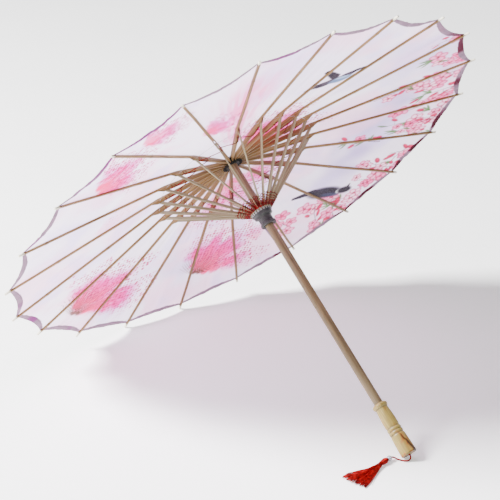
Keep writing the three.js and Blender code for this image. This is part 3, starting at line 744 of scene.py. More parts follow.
# ---- ribs: each station is (distance along, low, high, width of the foot, width of the head) ----
RIB_STATIONS = np.array([
    (-2.3, -1.04, 1.04, 2, 2),
    (-1.4, -1.96, 1.96, 2, 2),
    (0, -2.3, 2.3, 2, 2),
    (6.2, -2.3, 2.3, 2, 2),
    (7.2, RIB_LOW, RIB_TOP_CROWN, 3.3, 4.4),
    (INNER_LENGTH, RIB_LOW, RIB_TOP_JOINT, 4.4, 5.4),
    (INNER_LENGTH + 3, RIB_LOW + 0.3, RIB_TOP_JOINT, 4.4, 5.4),
    (INNER_LENGTH + 8, 1.3, RIB_TOP_JOINT, 4.4, 5.1),
    (INNER_LENGTH + SLIT_OUT, RIB_TOP_JOINT - TIP_DEPTH, RIB_TOP_JOINT, 4.4, 5.0),
    (RIB_LENGTH - 1, RIB_TOP_JOINT - TIP_DEPTH, RIB_TOP_JOINT, 3.8, 3.8),
    (RIB_LENGTH, RIB_TOP_JOINT - TIP_DEPTH + 0.4, RIB_TOP_JOINT - 0.3, 3.0, 3.0),
])
rib_along = np.unique(np.round(np.concatenate([RIB_STATIONS[:, 0], np.arange(10, RIB_LENGTH - 2, 3.5)]), 3))
rib_sizes = [np.interp(rib_along, RIB_STATIONS[:, 0], RIB_STATIONS[:, k]) for k in range(1, 5)]
slit = box_shape(INNER_LENGTH - SLIT_IN, INNER_LENGTH + SLIT_OUT, -SLIT_HALF, SLIT_HALF, -20, 20)
rib_points, rib_faces = carved(*rounded_bar(rib_along, *rib_sizes, 0.55), [slit])


def make_rib(i):
    """One rib with knots, a slight sway and wear of its own."""
    number = f"{i + 1:02d}"
    rng = np.random.default_rng(100 + i)
    s, y, h = rib_points.T
    knots = [rng.uniform(190, 300), rng.uniform(320, 385)] if rng.random() < 0.5 else [rng.uniform(200, 350)]
    swelling, ring = np.zeros_like(s), np.zeros_like(s)
    for knot in knots:
        swelling += 0.32 * near(s, knot, 3.2)
        ring += near(s, knot + 1.2, 0.9 + 0.5 * rng.random())
    sway = 0.35 * np.sin(s / rng.uniform(38, 60) + rng.uniform(0, 6)) * smoothstep(INNER_LENGTH, 220, s)
    sway *= 1 - smoothstep(RIB_LENGTH - 60, RIB_LENGTH - 10, s)
    tip = smoothstep(RIB_LENGTH - 9, RIB_LENGTH - 6.5, s)
    # Darker near the crown and just past the stretcher's joint, by a random amount there.
    dark_near_crown_and_joint = 0.6 * near(s, 8, 7) + 0.35 * near(s, INNER_LENGTH + 6, 9) * rng.random()
    bent = rib_point(i, s, y * (1 + swelling / 2) + sway, h - swelling * smoothstep(5.4, 3.2, h))
    piece(
        f"rib_split_bamboo_{number}", bent, rib_faces, [rib_bamboo], f"rib_{number}",
        node=f"rib_{number}", grain=np.stack([y + 37 * i, h + 11 * i, s + 500 * i], 1),
        colors={"wear": np.stack([np.clip(ring, 0, 1), tip, np.clip(dark_near_crown_and_joint, 0, 1)], 1)}, sharp=50,
    )


# ---- stretchers: each station is (distance along, half of the depth) ----
STRUT_STATIONS = np.array([
    (-2.2, 0.99), (-1.3, 1.87), (0, 2.2), (6.2, 2.2), (12.4, 2.5), (STRUT_LENGTH - 2.5, 2.5),
    (STRUT_LENGTH, 2.0), (STRUT_LENGTH + 1.75, 0.9),
])
strut_places = np.concatenate([STRUT_STATIONS[:, 0], np.arange(15, STRUT_LENGTH - 3, 5)])
strut_along = np.unique(np.round(strut_places, 3))
strut_half = np.interp(strut_along, *STRUT_STATIONS.T)
STRETCHER_WIDTH = 1.8
strut_points, strut_faces = rounded_bar(
    strut_along, -strut_half, strut_half, STRETCHER_WIDTH, STRETCHER_WIDTH, 0.4
)


def make_stretcher(i):
    number = f"{i + 1:02d}"
    s, y, h = strut_points.T
    bow = 0.25 * math.sin(2.3 * i) * np.sin(math.pi * np.clip(s / STRUT_LENGTH, 0, 1))
    piece(
        f"stretcher_strip_{number}", strut_point(i, s, y + bow, h), strut_faces, [stretcher_bamboo],
        f"stretcher_{number}", node=f"stretcher_{number}",
        grain=np.stack([y + 29 * i, h + 17 * i, s + 300 * i], 1), sharp=50,
    )


for i in range(RIBS):
    make_rib(i)
for i in range(RIBS):
    make_stretcher(i)

# ---- threads: each rib and stretcher carries its half of the way to its neighbours ----
CROSS_FROM, CROSS_TO = INNER_LENGTH - 19, INNER_LENGTH - SLIT_IN + 1
UNDER = RIB_LOW - 0.35
LASHING_ROWS = (4.6, 6.6, 8.8, 11.4, 14.6, 18.4, 22.6)


def loop_round(place, i, along, half, low, high):
    """A thread's way once round a bar."""
    y = half * np.array([-1, -1, 0, 1, 1, 1, 0, -1])
    h = np.array([low, high, high, high, (low + high) / 2, low, low, low])
    return place(i, along + np.linspace(0, 0.5, 8), y, h)


def half_way(place, i, way, own, other, drop=0.0, points=6):
    """A thread that hangs a little, from rib i half the way to its neighbour's mirrored place."""
    here, there = place(i, *own), place(i + way, *other)
    t = np.linspace(0, 1, points)[:, None]
    fall = np.concatenate([0 * t, 0 * t, -drop * 4 * t * (1 - t)], axis=1)
    return (1 - t) * here + t * (here + there) / 2 + fall


def lacing(i):
    """Red thread under rib i and across to its neighbours, and grey thread from joint to joint."""
    shape = Shape()
    for way in (-1, 1):
        own, other = (CROSS_FROM, CROSS_TO) if way > 0 else (CROSS_TO, CROSS_FROM)
        red = half_way(rib_point, i, way, (own, way * 1.4, UNDER), (other, -way * 1.4, UNDER), 0.2)
        shape.add(*tube(red, 0.6, 6))
        joint = INNER_LENGTH - 1
        grey = half_way(rib_point, i, way, (joint, way * 2.6, 0.6), (joint, -way * 2.6, 0.6), 0.1, 4)
        shape.add(*tube(grey, 0.22, 5), mark=1)
    along = np.linspace(INNER_LENGTH - 9, CROSS_TO, 12)
    shape.add(*tube(rib_point(i, along, 1.75 + 0.12 * np.sin(along), UNDER), 0.42, 6))
    for place in (INNER_LENGTH - 12.5, CROSS_FROM, CROSS_TO):
        shape.add(*tube(loop_round(rib_point, i, place, 2.7, RIB_LOW - 0.3, 3.2)[3:], 0.38, 6))
    return shape


def lashing(i):
    """Red thread round stretcher i and across to its neighbours at the runner, with one frayed end."""
    shape = Shape()
    rng = np.random.default_rng(300 + i)
    for row, place in enumerate(LASHING_ROWS):
        turn = loop_round(strut_point, i, place + rng.uniform(-0.5, 0.5), 1.25, -2.85, 2.85)
        shape.add(*tube(turn, 0.55, 5))
        for way in (-1, 1):
            for level, lean in ((-2.4, 1), (0.1, -1), (2.5, 1))[int(row > 3):]:
                rise = (1.6 + 0.5 * row + 0.6 * math.sin(5 * i + 3 * row)) * way * lean
                own, other = (place, way * 1.1, level), (place + rise, -way * 1.1, level)
                shape.add(*tube(half_way(strut_point, i, way, own, other, points=3), 0.52, 5))
    frayed = np.linspace(18, LASHING_ROWS[-1] + rng.uniform(2, 5), 5)
    shape.add(*tube(strut_point(i, frayed, 1.2, np.linspace(2.4, -2.2, 5)), 0.34, 5))
    return shape


for i in range(RIBS):
    number = f"{i + 1:02d}"
    for title, bar, shape, materials, keep in (
        ("rib_lacing", "rib", lacing(i), [red_thread, grey_thread], 0.15),
        ("stretcher_lashing", "stretcher", lashing(i), [red_thread], 0.45),
    ):
        thread = piece(
            f"{title}_{number}", shape.all_points(), shape.faces, materials, f"{bar}_{number}",
            marks=shape.marks,
        )
        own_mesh(thread)

# ---- pole ----
BORE_R = POLE_R + 0.3
TOOTH_R = HINGE_R + 2.4
SLOT_R = HINGE_R - 2.6
RUNNER_SLOTS_LOW = -94
POLE_LOW, POLE_HIGH = -498, 18
CATCH_TURN = math.radians(150)
CATCH_TOP = -RUNNER_DROP - 25.8
pole_profile = [(0, POLE_LOW), (POLE_R, POLE_LOW), (POLE_R, POLE_HIGH), (0, POLE_HIGH)]
pole_points, pole_faces = lathe(resampled(pole_profile, 5.0), 64)
x, y, z = pole_points.T
radius = np.hypot(x, y)
hollows = 0.06 + 0.05 * np.cos(5 * np.arctan2(y, x) + z / 60) + 0.08 * noise2(z / 30, 0 * z, 5)
pole_points[:, :2] *= np.where(radius > 6, 1 - hollows / POLE_R, 1)[:, None]
catch_slot = box_shape(2.8, 14, -1.2, 1.2, CATCH_TOP - 27.3, CATCH_TOP + 0.3, CATCH_TURN)
pole_points, pole_faces = carved(pole_points, pole_faces, [catch_slot])
piece("pole_bamboo", pole_points, pole_faces, [pole_wood], "root", node="pole", sharp=40)


def eye_slots(half, z0, z1):
    return [box_shape(SLOT_R, 3 * TOOTH_R, -half, half, z0, z1, azimuth(i)) for i in range(RIBS)]


def slot_mark(corners):
    """The runner's material: 1 inside a slot, black as painted shade, 2 on a tooth's outer face, pale as
    painted highlight.
    """
    x, y, z = corners.mean(axis=0)
    radius = math.hypot(x, y)
    if z < RUNNER_SLOTS_LOW - 0.1:
        return 0
    return 2 if radius > TOOTH_R - 0.9 else int(radius < TOOTH_R - 1.1)


# ---- crown ----
crown_loop = [(BORE_R, -3.8), (TOOTH_R, -3.8), (TOOTH_R, 3), (TOOTH_R - 1, 4), (10, 4), (10, 10), (BORE_R, 10)]
crown_points, crown_faces = carved(*tube_ring(crown_loop, 132), eye_slots(1.3, -8, 2.6), 0.28)
piece(
    "crown_toothed", crown_points, crown_faces, [black_plastic], "root", node="crown_hub",
    sharp=35,
)

# ---- runner: a toothed head, and a sleeve with four raised bands ----
RUNNER_LOW, RUNNER_TOP = -116.5, -87.5
SLEEVE_BANDS, BAND_STEP = 4, 2.1
SLEEVE_BAND = ((10.6, -109.8), (11.1, -109.3), (11.1, -108.7), (10.6, -108.2))
runner_loop = [(BORE_R, RUNNER_LOW), (12.1, RUNNER_LOW), (12.7, -115.9), (12.7, -112.5), (11.4, -111.6)]
runner_loop += [(10.6, -110.5)]
runner_loop += [(r, z + BAND_STEP * k) for k in range(SLEEVE_BANDS) for r, z in SLEEVE_BAND]
runner_loop += [(10.9, -101.4), (15.2, -99.5), (15.2, -94.8), (TOOTH_R, -94.8)]
runner_loop += [(TOOTH_R, RUNNER_TOP), (BORE_R, RUNNER_TOP)]
runner_points, runner_faces = carved(*tube_ring(runner_loop, 132), eye_slots(1.2, RUNNER_SLOTS_LOW, -80), 0.22)
# Painted shade and highlight: black plastic inside the slots, pale plastic on the teeth's outer faces.
runner_marks = [slot_mark(runner_points[list(f)]) for f in runner_faces]
piece(
    "runner_toothed", runner_points, runner_faces, [grey_plastic, black_plastic, tooth_highlight_plastic], "runner",
    node="runner", marks=runner_marks, sharp=35,
)

# ---- cap: fluted sides and a knob ----
CAP_OUTLINE = [
    (21.2, 5.5), (22, 6.3), (21.6, 8.5), (20.4, 11.5), (17.6, 14.85), (14.4, 17.6), (11.44, 19.95), (7.4, 21.6),
    (4.8, 22.7), (5.6, 24.4), (6, 26.2), (6, 28), (5.4, 30.2), (4.2, 31.4),
]
cap_hollow = [(0, 18.3), (BORE_R, 18.3), (BORE_R, 10.3), (10.3, 10.3), (10.3, 5.5)]
cap_outer = softened(resampled(CAP_OUTLINE, 0.6), 3)
cap_points, cap_faces = lathe(np.concatenate([cap_hollow, cap_outer, [(4, 31.5), (0, 31.5)]]), 96)
x, y, z = cap_points.T
radius = np.hypot(x, y)
flutes = 0.012 * (np.abs(np.cos(11 * np.arctan2(y, x))) - 1) * smoothstep(9, 12, radius)
flutes *= (1 - smoothstep(21, 21.9, radius)) * (z > 6.5)
cap_points[:, :2] *= (1 + flutes)[:, None]
piece("cap_fluted", cap_points, cap_faces, [black_plastic], "root", node="top_cap", sharp=40)

# ---- handle: its outline is (radius, share of the way from the end to the top) ----
HANDLE_LENGTH = HANDLE_END - HANDLE_TOP
HANDLE_OUTLINE = (
    (11.7, 0), (12.3, 0.015), (12.1, 0.12), (11.4, 0.3), (11.1, 0.375), (9.9, 0.395), (11.3, 0.415),
    (11.3, 0.44), (10.2, 0.46), (11.3, 0.48), (11.3, 0.505), (9.9, 0.525), (10.9, 0.56), (10.9, 0.68),
    (10.1, 0.82), (9.4, 0.9), (11.4, 0.93), (12, 0.955), (11, 0.985), (8.5, 1),
)
HANDLE_GROOVES = (0.395, 0.46, 0.525, 0.905)
CRACK_TURN = math.radians(231) + 1.15
handle_outer = [(r, -HANDLE_END + share * HANDLE_LENGTH) for r, share in HANDLE_OUTLINE]
cord_hole = [(0, -511), (2, -511), (2, -HANDLE_END)]
pole_socket = [(BORE_R, -HANDLE_TOP), (BORE_R, -498.3), (0, -498.3)]
handle_points, handle_faces = lathe(
    np.concatenate([cord_hole, softened(resampled(handle_outer, 0.6), 3), pole_socket]), 120
)


def handle_marks(x, y, z):
    """How far the crack is open at each point, and the marks there: stains, and painted shade in the grooves.
    """
    radius, turn, along = np.hypot(x, y), np.arctan2(y, x), (z + HANDLE_END) / HANDLE_LENGTH
    outside = (radius > 8.3) & (z > -HANDLE_END - 0.1)
    crack_turn = CRACK_TURN - 1.0 * np.clip(along / 0.44, 0, 1.2) + 0.05 * np.sin(along * 40)
    crack_half = 0.9 + 2.2 * smoothstep(0.36, 0.0, along)
    off_crack = np.abs((turn - crack_turn + math.pi) % (2 * math.pi) - math.pi) * radius
    open_crack = near(off_crack, 0, crack_half) * smoothstep(0.39, 0.33, along) * outside
    dark_edge = near(off_crack, 0, 2.2 * crack_half) * smoothstep(0.5, 0.36, along) * outside
    blotch = smoothstep(0.5, 0.72, cloudy(turn * 2.2 + 5, z / 7, 21)) * smoothstep(0.5, 0.05, along)
    faint = smoothstep(0.62, 0.8, cloudy(turn * 1.6 + 9, z / 9, 31)) * 0.35
    # Painted shade: the turned grooves are darkened in colour.
    groove_shade = 0.6 * sum(near(along, share, 0.009) for share in HANDLE_GROOVES)
    # Darker patches round the end, in noisy stretches.
    dark_end_patches = smoothstep(0.035, 0.005, along) * smoothstep(0.35, 0.6, cloudy(turn * 1.5 + 3, z / 9, 41))
    dark = np.clip(open_crack + 0.45 * dark_edge * blotch + groove_shade + 0.6 * dark_end_patches, 0, 1)
    return open_crack, np.stack([dark, np.clip(0.9 * blotch + 0.7 * dark_edge + faint, 0, 1), 0 * z], 1)


open_crack, stain_and_shade = handle_marks(*handle_points.T)
radius = np.hypot(*handle_points.T[:2])
handle_points[:, :2] *= (1 - 0.55 * open_crack / np.maximum(radius, 1))[:, None]
piece(
    "handle_turned_wood", handle_points, handle_faces, [turned_wood], "root", node="handle",
    colors={"stain_and_shade": stain_and_shade}, sharp=45,
)

# ---- CAD nodes that stay, with their materials ----
for node, material in (
    ("crown_tie_wire", steel_wire), ("crown_pin", steel_wire), ("runner_tie_wire", steel_wire),
    ("catch_spring", spring_steel),
):
    for material_slot in frame["nodes"][node].material_slots:
        material_slot.material = material

# ---- the cloth's print, painted by place: x and y of the flat-lying canopy, in millimetres ----
CORAL, MAGENTA, ROSE = (230, 40, 104), (216, 34, 142), (160, 0, 46)
LEAF, LEAF_DARK, TWIG = (70, 112, 44), (34, 62, 30), (44, 32, 36)
SLATE, DUSK, MIST, INK = (44, 34, 42), (26, 18, 24), (84, 108, 142), (8, 4, 7)


class Print:
    """The colours of points of the cloth at x and y, painted over layer by layer."""

    def __init__(self, x, y):
        self.x, self.y = x, y
        self.rgb = np.tile(np.array([243.0, 230.0, 249.0]), (len(x), 1))

    def tint(self, where, color, amount):
        amount = np.clip(amount, 0, 1)[:, None]
        self.rgb[where] = self.rgb[where] * (1 - amount) + np.asarray(color, float) * amount

    def wash(self, color, amount):
        self.tint(np.arange(len(self.x)), color, amount)

    def within(self, cx, cy, reach):
        return np.nonzero((np.abs(self.x - cx) < reach) & (np.abs(self.y - cy) < reach))[0]

    def stroke(self, a, b, width_a, width_b, color, strength=0.85, edge=0.8):
        """A tapered brush stroke from a to b."""
        a, b = np.asarray(a, float), np.asarray(b, float)
        span = np.linalg.norm(b - a)
        where = self.within(*((a + b) / 2), span / 2 + max(width_a, width_b) + 3)
        if not len(where):
            return
        p = np.stack([self.x[where], self.y[where]], 1) - a
        t = np.clip(p @ (b - a) / max(span * span, 1e-9), 0, 1)
        off = np.linalg.norm(p - t[:, None] * (b - a), axis=1)
        width = width_a + (width_b - width_a) * t
        self.tint(where, color, strength * smoothstep(width + edge, width - edge, off))

    def petal(self, centre, long_way, long_half, wide_half, color, strength=0.8, edge=0.25, rim=None):
        """An oval whose long half-axis runs along long_way."""
        where = self.within(*centre, max(long_half, wide_half) + 4)
        if not len(where):
            return
        way = np.asarray(long_way, float) / np.linalg.norm(long_way)
        p = np.stack([self.x[where] - centre[0], self.y[where] - centre[1]], 1)
        size = np.hypot(p @ way / long_half, (p @ np.array([-way[1], way[0]])) / wide_half)
        self.tint(where, color, strength * smoothstep(1 + edge, 1 - edge, size))
        if rim is not None:
            self.tint(where, rim, 0.6 * near(size, 0.95, 0.2))


def heading(degrees):
    return np.array([math.cos(math.radians(degrees)), math.sin(math.radians(degrees))])


def polar(r, degrees):
    return r * heading(degrees)


def flower_fan(art, base, way, length, half_angle, seed, strength, with_hairs):
    """A loose bloom: colour fans out from its foot, with speckles at its edge and brown hairs at its foot."""
    where = art.within(*base, length * 1.3)
    if not len(where):
        return
    px, py = art.x[where] - base[0], art.y[where] - base[1]
    rho = np.hypot(px, py)
    phi = (np.arctan2(py, px) - math.radians(way) + math.pi) % (2 * math.pi) - math.pi
    half = math.radians(half_angle)
    reach = length * (0.72 + 0.34 * noise2(phi * 5 + 9, rho * 0 + seed, seed))
    across = 1 - smoothstep(0.72, 1.12, np.abs(phi) / half + 0.22 * (noise2(rho / 9, phi * 2, seed + 3) - 0.5))
    body = (1 - smoothstep(0.62, 1.05, rho / reach)) * across * smoothstep(0.02, 0.2, rho / length)
    streaks = 0.62 + 0.38 * smoothstep(0.3, 0.6, noise2(phi * 26 + 40, rho / 16, seed + 5))
    clouds = 0.66 + 0.34 * smoothstep(0.3, 0.62, cloudy(px / 17, py / 17, seed + 7))
    tone = smoothstep(0.15, 0.85, rho / reach)[:, None]
    color = np.asarray(CORAL) * (1 - tone) + np.asarray(MAGENTA) * tone
    art.tint(where, color, strength * body * streaks * clouds)
    cell = 6.5
    gi, gj = np.floor(art.x[where] / cell).astype(int), np.floor(art.y[where] / cell).astype(int)
    dice = np.random.default_rng(seed + 11).random((64, 64, 4))[gi % 64, gj % 64]
    fx, fy = art.x[where] / cell - gi, art.y[where] / cell - gj
    dot = np.hypot(fx - 0.3 - 0.4 * dice[:, 0], fy - 0.3 - 0.4 * dice[:, 1]) * cell
    size = 0.9 + 1.5 * dice[:, 2]
    zone = across * smoothstep(0.22, 0.6, rho / reach) * (1 - smoothstep(1.1, 1.3, rho / reach))
    zone = zone * (dice[:, 3] > 0.15)
    art.tint(where, (172, 0, 84), strength * zone * smoothstep(size + 0.6, size - 0.4, dot))
    if with_hairs:
        hair = np.abs((phi * 9 + 1.5 * noise2(rho / 14, phi * 3, seed + 13)) % 1 - 0.5) * rho / 9
        zone = (1 - smoothstep(0.3, 0.62, rho / length)) * smoothstep(0.02, 0.07, rho / length)
        zone *= smoothstep(1.15, 0.8, np.abs(phi + 0.35) / half)
        art.tint(where, (84, 40, 26), 0.95 * zone * smoothstep(0.95, 0.3, hair))


def blossom(art, centre, size, rng):
    """An open five-petalled blossom, seen a little from the side."""
    start, pale = rng.uniform(0, 360), rng.random()
    petal_color = (250 - 18 * pale, 206 - 116 * pale, 226 - 76 * pale)
    for k in range(5):
        way = heading(start + 72 * k)
        middle = centre + 0.62 * size * way
        art.petal(middle, way, 0.55 * size, 0.42 * size, petal_color, 0.9, 0.3, rim=(180, 4, 66))
    for _ in range(4):
        spot = centre + rng.uniform(-0.25, 0.25, 2) * size
        art.petal(spot, (1, 0), 1.3, 1.3, (110, 14, 8), 0.9, 0.5)


def spray(art, start, way, length, seed):
    """A twig with buds, blossoms and leaves along it."""
    rng = np.random.default_rng(seed)
    here, bend = np.asarray(start, float), rng.uniform(-3, 3)
    steps = max(3, int(length / 11))
    for k in range(steps):
        there = here + heading(way) * length / steps
        art.stroke(here, there, 0.8 * (1 - 0.6 * k / steps), 0.6, TWIG, 0.6 + 0.2 * rng.random())
        side = rng.choice((-1, 1))
        off = heading(way + side * rng.uniform(40, 100))
        draw = rng.random()
        if draw < 0.42:
            tip = here + off * rng.uniform(5, 13)
            art.stroke(here, tip, 0.4, 0.3, TWIG, 0.5)
            long_half, wide_half = rng.uniform(6, 10), rng.uniform(3.2, 4.8)
            art.petal(tip + off * 3, off + heading(way), long_half, wide_half, ROSE, 0.9, 0.25)
            art.petal(tip + off * 5.5, off + heading(way), 4, 2.2, (226, 30, 90), 0.7, 0.4)
        elif draw < 0.75:
            blossom(art, here + off * rng.uniform(7, 14), rng.uniform(8, 14), rng)
        else:
            for turn in (-24, 0, 24)[: rng.integers(1, 4)]:
                leaf_way = heading(way + side * (42 + turn))
                reach = rng.uniform(10, 22)
                art.petal(here + leaf_way * reach * 0.6, leaf_way, reach * 0.62, 2.2, LEAF, 0.75, 0.3)
                art.stroke(here, here + leaf_way * reach, 0.5, 0.2, LEAF_DARK, 0.6)
        way += bend + rng.uniform(-9, 9)
        here = there


def bird(art, centre, ahead, upward, strokes, ovals):
    """A small songbird drawn along its own ahead and upward ways."""
    ways = np.array([ahead, upward])
    for a, b, width_a, width_b, color, strength in strokes:
        art.stroke(centre + a @ ways, centre + b @ ways, width_a, width_b, color, strength, edge=1.1)
    for middle, (long_half, wide_half, rise), color, strength in ovals:
        way = (long_half, rise) @ ways
        art.petal(centre + middle @ ways, way, np.linalg.norm(way), wide_half, color, strength, 0.3)


FANS = (  # radius, degrees, way, length, half of the angle, seed, strength, with hairs
    (362, 124, 316, 132, 66, 1, 1.5, True), (320, 80, 300, 118, 64, 2, 1.5, True),
    (330, 197, 322, 92, 66, 3, 1.25, False), (352, 216, 322, 66, 64, 4, 1.05, False),
    (200, 226, 318, 70, 62, 5, 1.05, False), (40, 318, 277, 118, 60, 6, 1.2, False),
    (60, 80, 40, 110, 62, 9, 0.8, False), (60, 40, 0, 90, 50, 12, 0.5, False),
    (300, 58, 250, 60, 40, 7, 0.3, False), (255, 165, 320, 70, 45, 8, 0.2, False),
)
SPRAYS = (  # radius, degrees, way, length; a row's number is its seed
    (402, 330, 151, 104), (312, 329, 146, 70), (392, 322, 172, 74), (372, 343, 136, 86), (400, 338, 160, 90),
    (404, 0, 186, 104), (300, 2, 186, 90), (404, 352, 176, 80), (366, 8, 92, 76), (398, 14, 182, 92),
    (398, 20, 196, 70), (396, 31, 196, 118), (402, 40, 214, 90), (330, 46, 208, 60), (400, 310, 150, 50),
    (340, 352, 176, 64), (403, 346, 140, 70), (404, 6, 170, 60), (404, 18, 214, 60), (380, 352, 150, 70),
    (403, 324, 176, 56), (370, 28, 184, 70), (396, 36, 232, 66), (350, 336, 186, 60), (404, 335, 120, 60),
    (372, 0, 210, 60), (404, 26, 176, 50),
)
FLYING_STROKES = (  # from, to, the two half widths, colour, strength
    ((-4, -2), (-20, -9), 10.5, 6.5, SLATE, 0.95), ((-20, -9), (-33, -14.5), 6.5, 2.5, DUSK, 0.9),
    ((6, 2), (18, 8.5), 9.0, 6.5, SLATE, 0.95), ((18, 8.5), (32, 13), 6.5, 2.0, DUSK, 0.9),
    ((-3, 2), (-11, 6), 8.0, 4.0, INK, 0.95),
)
FLYING_OVALS = (  # middle, (half length, half width, rise), colour, strength
    ((2, -1), (12, 9.5, 4), MIST, 0.95), ((4, 1), (7, 4, 2.5), (170, 188, 214), 0.6),
)
PERCHED_STROKES = (
    ((-12, -1), (-24, -5), 8.0, 5.0, DUSK, 0.95), ((-24, -5), (-32, -7.5), 5.0, 3.0, INK, 0.95),
)
PERCHED_OVALS = (
    ((-1, -0.6), (15, 16.5, 2.2), (12, 11, 16), 1.0), ((4, -2.4), (8, 6, 1), (44, 52, 82), 0.7),
    ((-4, 1.2), (8, 3.6, 1.4), (24, 20, 32), 0.8), ((13, 1.8), (3, 6, 0.5), (226, 226, 236), 0.9),
    ((18.4, 3.4), (6.2, 9.6, 1.2), INK, 1.0), ((22.5, 7.5), (1.6, 2.2, 2.4), INK, 0.9),
)


def paint(x, y):
    """The print's colour at each place: washes of colour, fans, sprays and two birds."""
    art = Print(x, y)
    r, angle = np.hypot(x, y), np.degrees(np.arctan2(y, x)) % 360
    violet = 0.14 + 0.66 * smoothstep(-0.1, 0.9, np.cos(np.radians(angle - 20)))
    art.wash((168, 146, 204), violet * smoothstep(0.42, 0.75, cloudy(x / 130 + 7, y / 130, 41)))
    art.wash((246, 180, 216), 0.5 * smoothstep(0.45, 0.7, cloudy(x / 90 + 3, y / 90 + 5, 51)))
    art.wash((206, 188, 244), 0.4 * smoothstep(0.5, 0.75, cloudy(x / 60 + 13, y / 60 + 1, 61)))
    streak = near(angle, 245, 9) * smoothstep(60, 110, r) * (1 - smoothstep(250, 385, r))
    grain = 0.45 + 0.55 * smoothstep(0.35, 0.65, noise2(angle / 1.3, r / 45, 71))
    art.wash((240, 96, 160), 0.75 * streak * grain)
    for radius, degrees, *rest in FANS:
        flower_fan(art, polar(radius, degrees), *rest)
    for seed, (radius, degrees, way, length) in enumerate(SPRAYS, 1):
        spray(art, polar(radius, degrees), way, length, seed)
    bird(art, polar(237, 288), 2.56 * heading(17.7), 4.3 * heading(236), FLYING_STROKES, FLYING_OVALS)
    bird(art, polar(297, 29.4), 2.46 * heading(13), 3.6 * heading(243), PERCHED_STROKES, PERCHED_OVALS)
    return art.rgb


def hem_color(x, y):
    """The hem band's tone: taupe, with purple and crimson stretches where the print runs over it."""
    angle = np.arctan2(y, x)
    tone = np.tile(np.array([168.0, 142.0, 160.0]), (len(x), 1))
    purple = smoothstep(0.62, 0.78, noise2(angle * 9 + 20, 0 * x, 81)) * smoothstep(0.0, 0.5, -np.cos(angle))
    crimson = smoothstep(0.42, 0.6, noise2(angle * 12 + 20, 0 * x, 91))
    crimson *= smoothstep(0.3, 0.8, np.cos(angle - 0.1))
    shade = cloudy(angle * 30 + 50, 0 * x, 95)
    tone *= (0.88 + 0.2 * shade)[:, None]
    for amount, color in ((0.75 * purple, (140, 44, 128)), (0.9 * crimson, (84, 0, 22))):
        tone = tone * (1 - amount[:, None]) + np.asarray(color) * amount[:, None]
    return tone


# ---- canopy: one tensioned sheet, cut along the gores' middles so that each part can fold with its rib ----
CLOTH_ABOVE = 0.25
OVER_CROWN = 4.4 + CLOTH_ABOVE
CLOTH_RADII = (10.6, 21.64, JOINT[0], RIM_R)
CLOTH_HEIGHTS = (OVER_CROWN, OVER_CROWN, -5.0 + CLOTH_ABOVE, TIP_TOP + 0.4 + CLOTH_ABOVE)
HEM_R, SCALLOP = 403.0, 7.0
BANDS = (  # from radius, to radius (None is the hem), columns, rows, share of the width kept when closed
    (12.5, 60, 16, 24, 0.3), (60, 150, 32, 46, 0.15), (150, 250, 48, 52, 0.085), (250, None, 64, 80, 0.047),
)


def cloth_point(i, share, r):
    """A point of the cloth: share from -0.5 to 0.5 across rib i's strip, and r out along the ribs."""
    other = i + np.sign(share)
    own = np.stack([np.cos(azimuth(i)) + 0 * share, np.sin(azimuth(i)) + 0 * share], -1)
    its = np.stack([np.cos(azimuth(other)), np.sin(azimuth(other))], -1)
    xy = (own * (1 - np.abs(share))[..., None] + its * np.abs(share)[..., None]) * r[..., None]
    z = np.interp(r, CLOTH_RADII, CLOTH_HEIGHTS) - 0.24 * near(r, JOINT[0], 14)
    between = np.sin(math.pi * np.abs(share))
    turn = np.arctan2(xy[..., 1], xy[..., 0])
    folds = cloudy(turn * 16 + 60, r / 120, 101) - 0.5
    puckers = (cloudy(turn * 60 + 99, r / 26, 111) - 0.5) * smoothstep(330, 400, r)
    sag = 3.0 * (r / RIM_R) ** 1.4
    z -= between * (sag + 3.2 * folds * smoothstep(40, 200, r) + 1.6 * puckers)
    return np.concatenate([xy, z[..., None]], axis=-1)


def hem_radius(share):
    s = np.abs(share)
    return HEM_R - SCALLOP * 4 * s * (1 - s)


def hem_fold(i, share, finish, width):
    """The band that is turned under at the hem."""
    inward = np.array([0.0, 0.5, 0.97, 1.0])[:, None]
    depth = np.array([0.02, 0.42, 0.42, 0.1])[:, None]
    r = finish - inward * width
    fold = cloth_point(i, np.broadcast_to(share, r.shape), r)
    fold[..., 2] -= depth
    return fold.reshape(-1, 3)


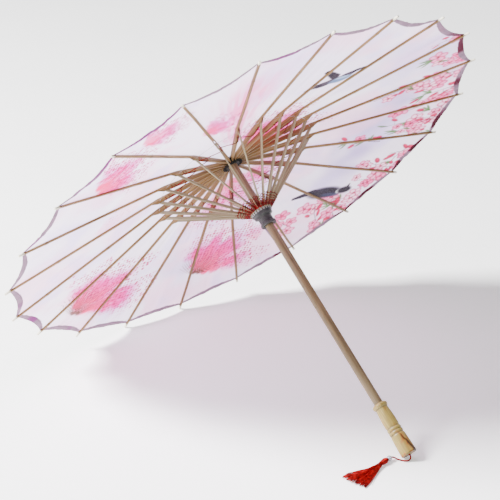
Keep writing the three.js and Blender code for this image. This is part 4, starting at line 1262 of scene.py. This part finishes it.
def cloth_strip(i, start, end, columns, rows):
    """Rib i's part of the cloth between two radii: its shape, its colours and its outer radius."""
    share = np.linspace(-0.5, 0.5, columns + 1)
    finish = hem_radius(share) if end is None else np.full_like(share, end)
    t = np.linspace(0, 1, rows + 1)[:, None]
    r = start * (1 - t) + finish * t
    points = cloth_point(i, np.broadcast_to(share, r.shape), r).reshape(-1, 3)
    shape = Shape().add(points, grid_faces(rows + 1, columns + 1))
    rgb = paint(points[:, 0], points[:, 1])
    if end is None:
        width = 5.0 + 5.5 * np.sin(math.pi * np.abs(share))
        in_hem = (np.abs(r - finish) < width).ravel()
        rgb[in_hem] = hem_color(points[in_hem, 0], points[in_hem, 1])
        fold = hem_fold(i, share, finish, width)
        shape.add(fold, [f[::-1] for f in grid_faces(4, columns + 1)])
        rgb = np.concatenate([rgb, hem_color(fold[:, 0], fold[:, 1])])
    return shape, rgb, float(np.max(finish))


for i in range(RIBS):
    rib = f"rib_{i + 1:02d}"
    for letter, (start, end, columns, rows, keep) in zip("abcd", BANDS):
        shape, rgb, reach = cloth_strip(i, start, end, columns, rows)
        cloth = piece(
            f"canopy_gore_{i + 1:02d}_{letter}", shape.all_points(), shape.faces, [canopy_cloth], rib,
            node="canopy", colors={"print": linear(rgb)},
        )
        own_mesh(cloth)

# ---- floor and lights ----
FLOOR_SIZE, FLOOR_BELOW = 40, 0.0002
WHITE = (1, 1, 1, 1)
floor_look = Look("floor_look", 0.85, Specular_IOR_Level=0.1, Emission_Color=WHITE, Emission_Strength=0.5)
floor_tone = floor_look.noise(3, object_space=True)
floor_look.color(floor_look.ramp(floor_tone, (0.3, 0.7), ((246, 246, 247), (250, 250, 250))))
bpy.ops.mesh.primitive_plane_add(size=FLOOR_SIZE, location=(0, 0, -FLOOR_BELOW))
floor = bpy.context.object
floor.name = "floor"
floor.data.materials.append(floor_look.material)

world = bpy.data.worlds.new("studio")
bpy.context.scene.world = world
world.use_nodes = True
background = world.node_tree.nodes["Background"]
background.inputs["Color"].default_value = WHITE
background.inputs["Strength"].default_value = 0.32


def area_light(name, place, size, power):
    """A square lamp that shines on the middle of the umbrella."""
    data = bpy.data.lights.new(name, "AREA")
    data.size = size
    data.energy = power
    lamp = bpy.data.objects.new(name, data)
    bpy.context.scene.collection.objects.link(lamp)
    lamp.location = place
    lamp.rotation_mode = "QUATERNION"
    lamp.rotation_quaternion = (Vector((0, 0, 0.3)) - Vector(place)).to_track_quat("-Z", "Y")


area_light("key_light", (-2.6, 1.5, 2.9), 1.3, 1000)
area_light("front_fill", (-1.6, -2.6, 1.4), 2.0, 9)

bpy.context.view_layer.update()
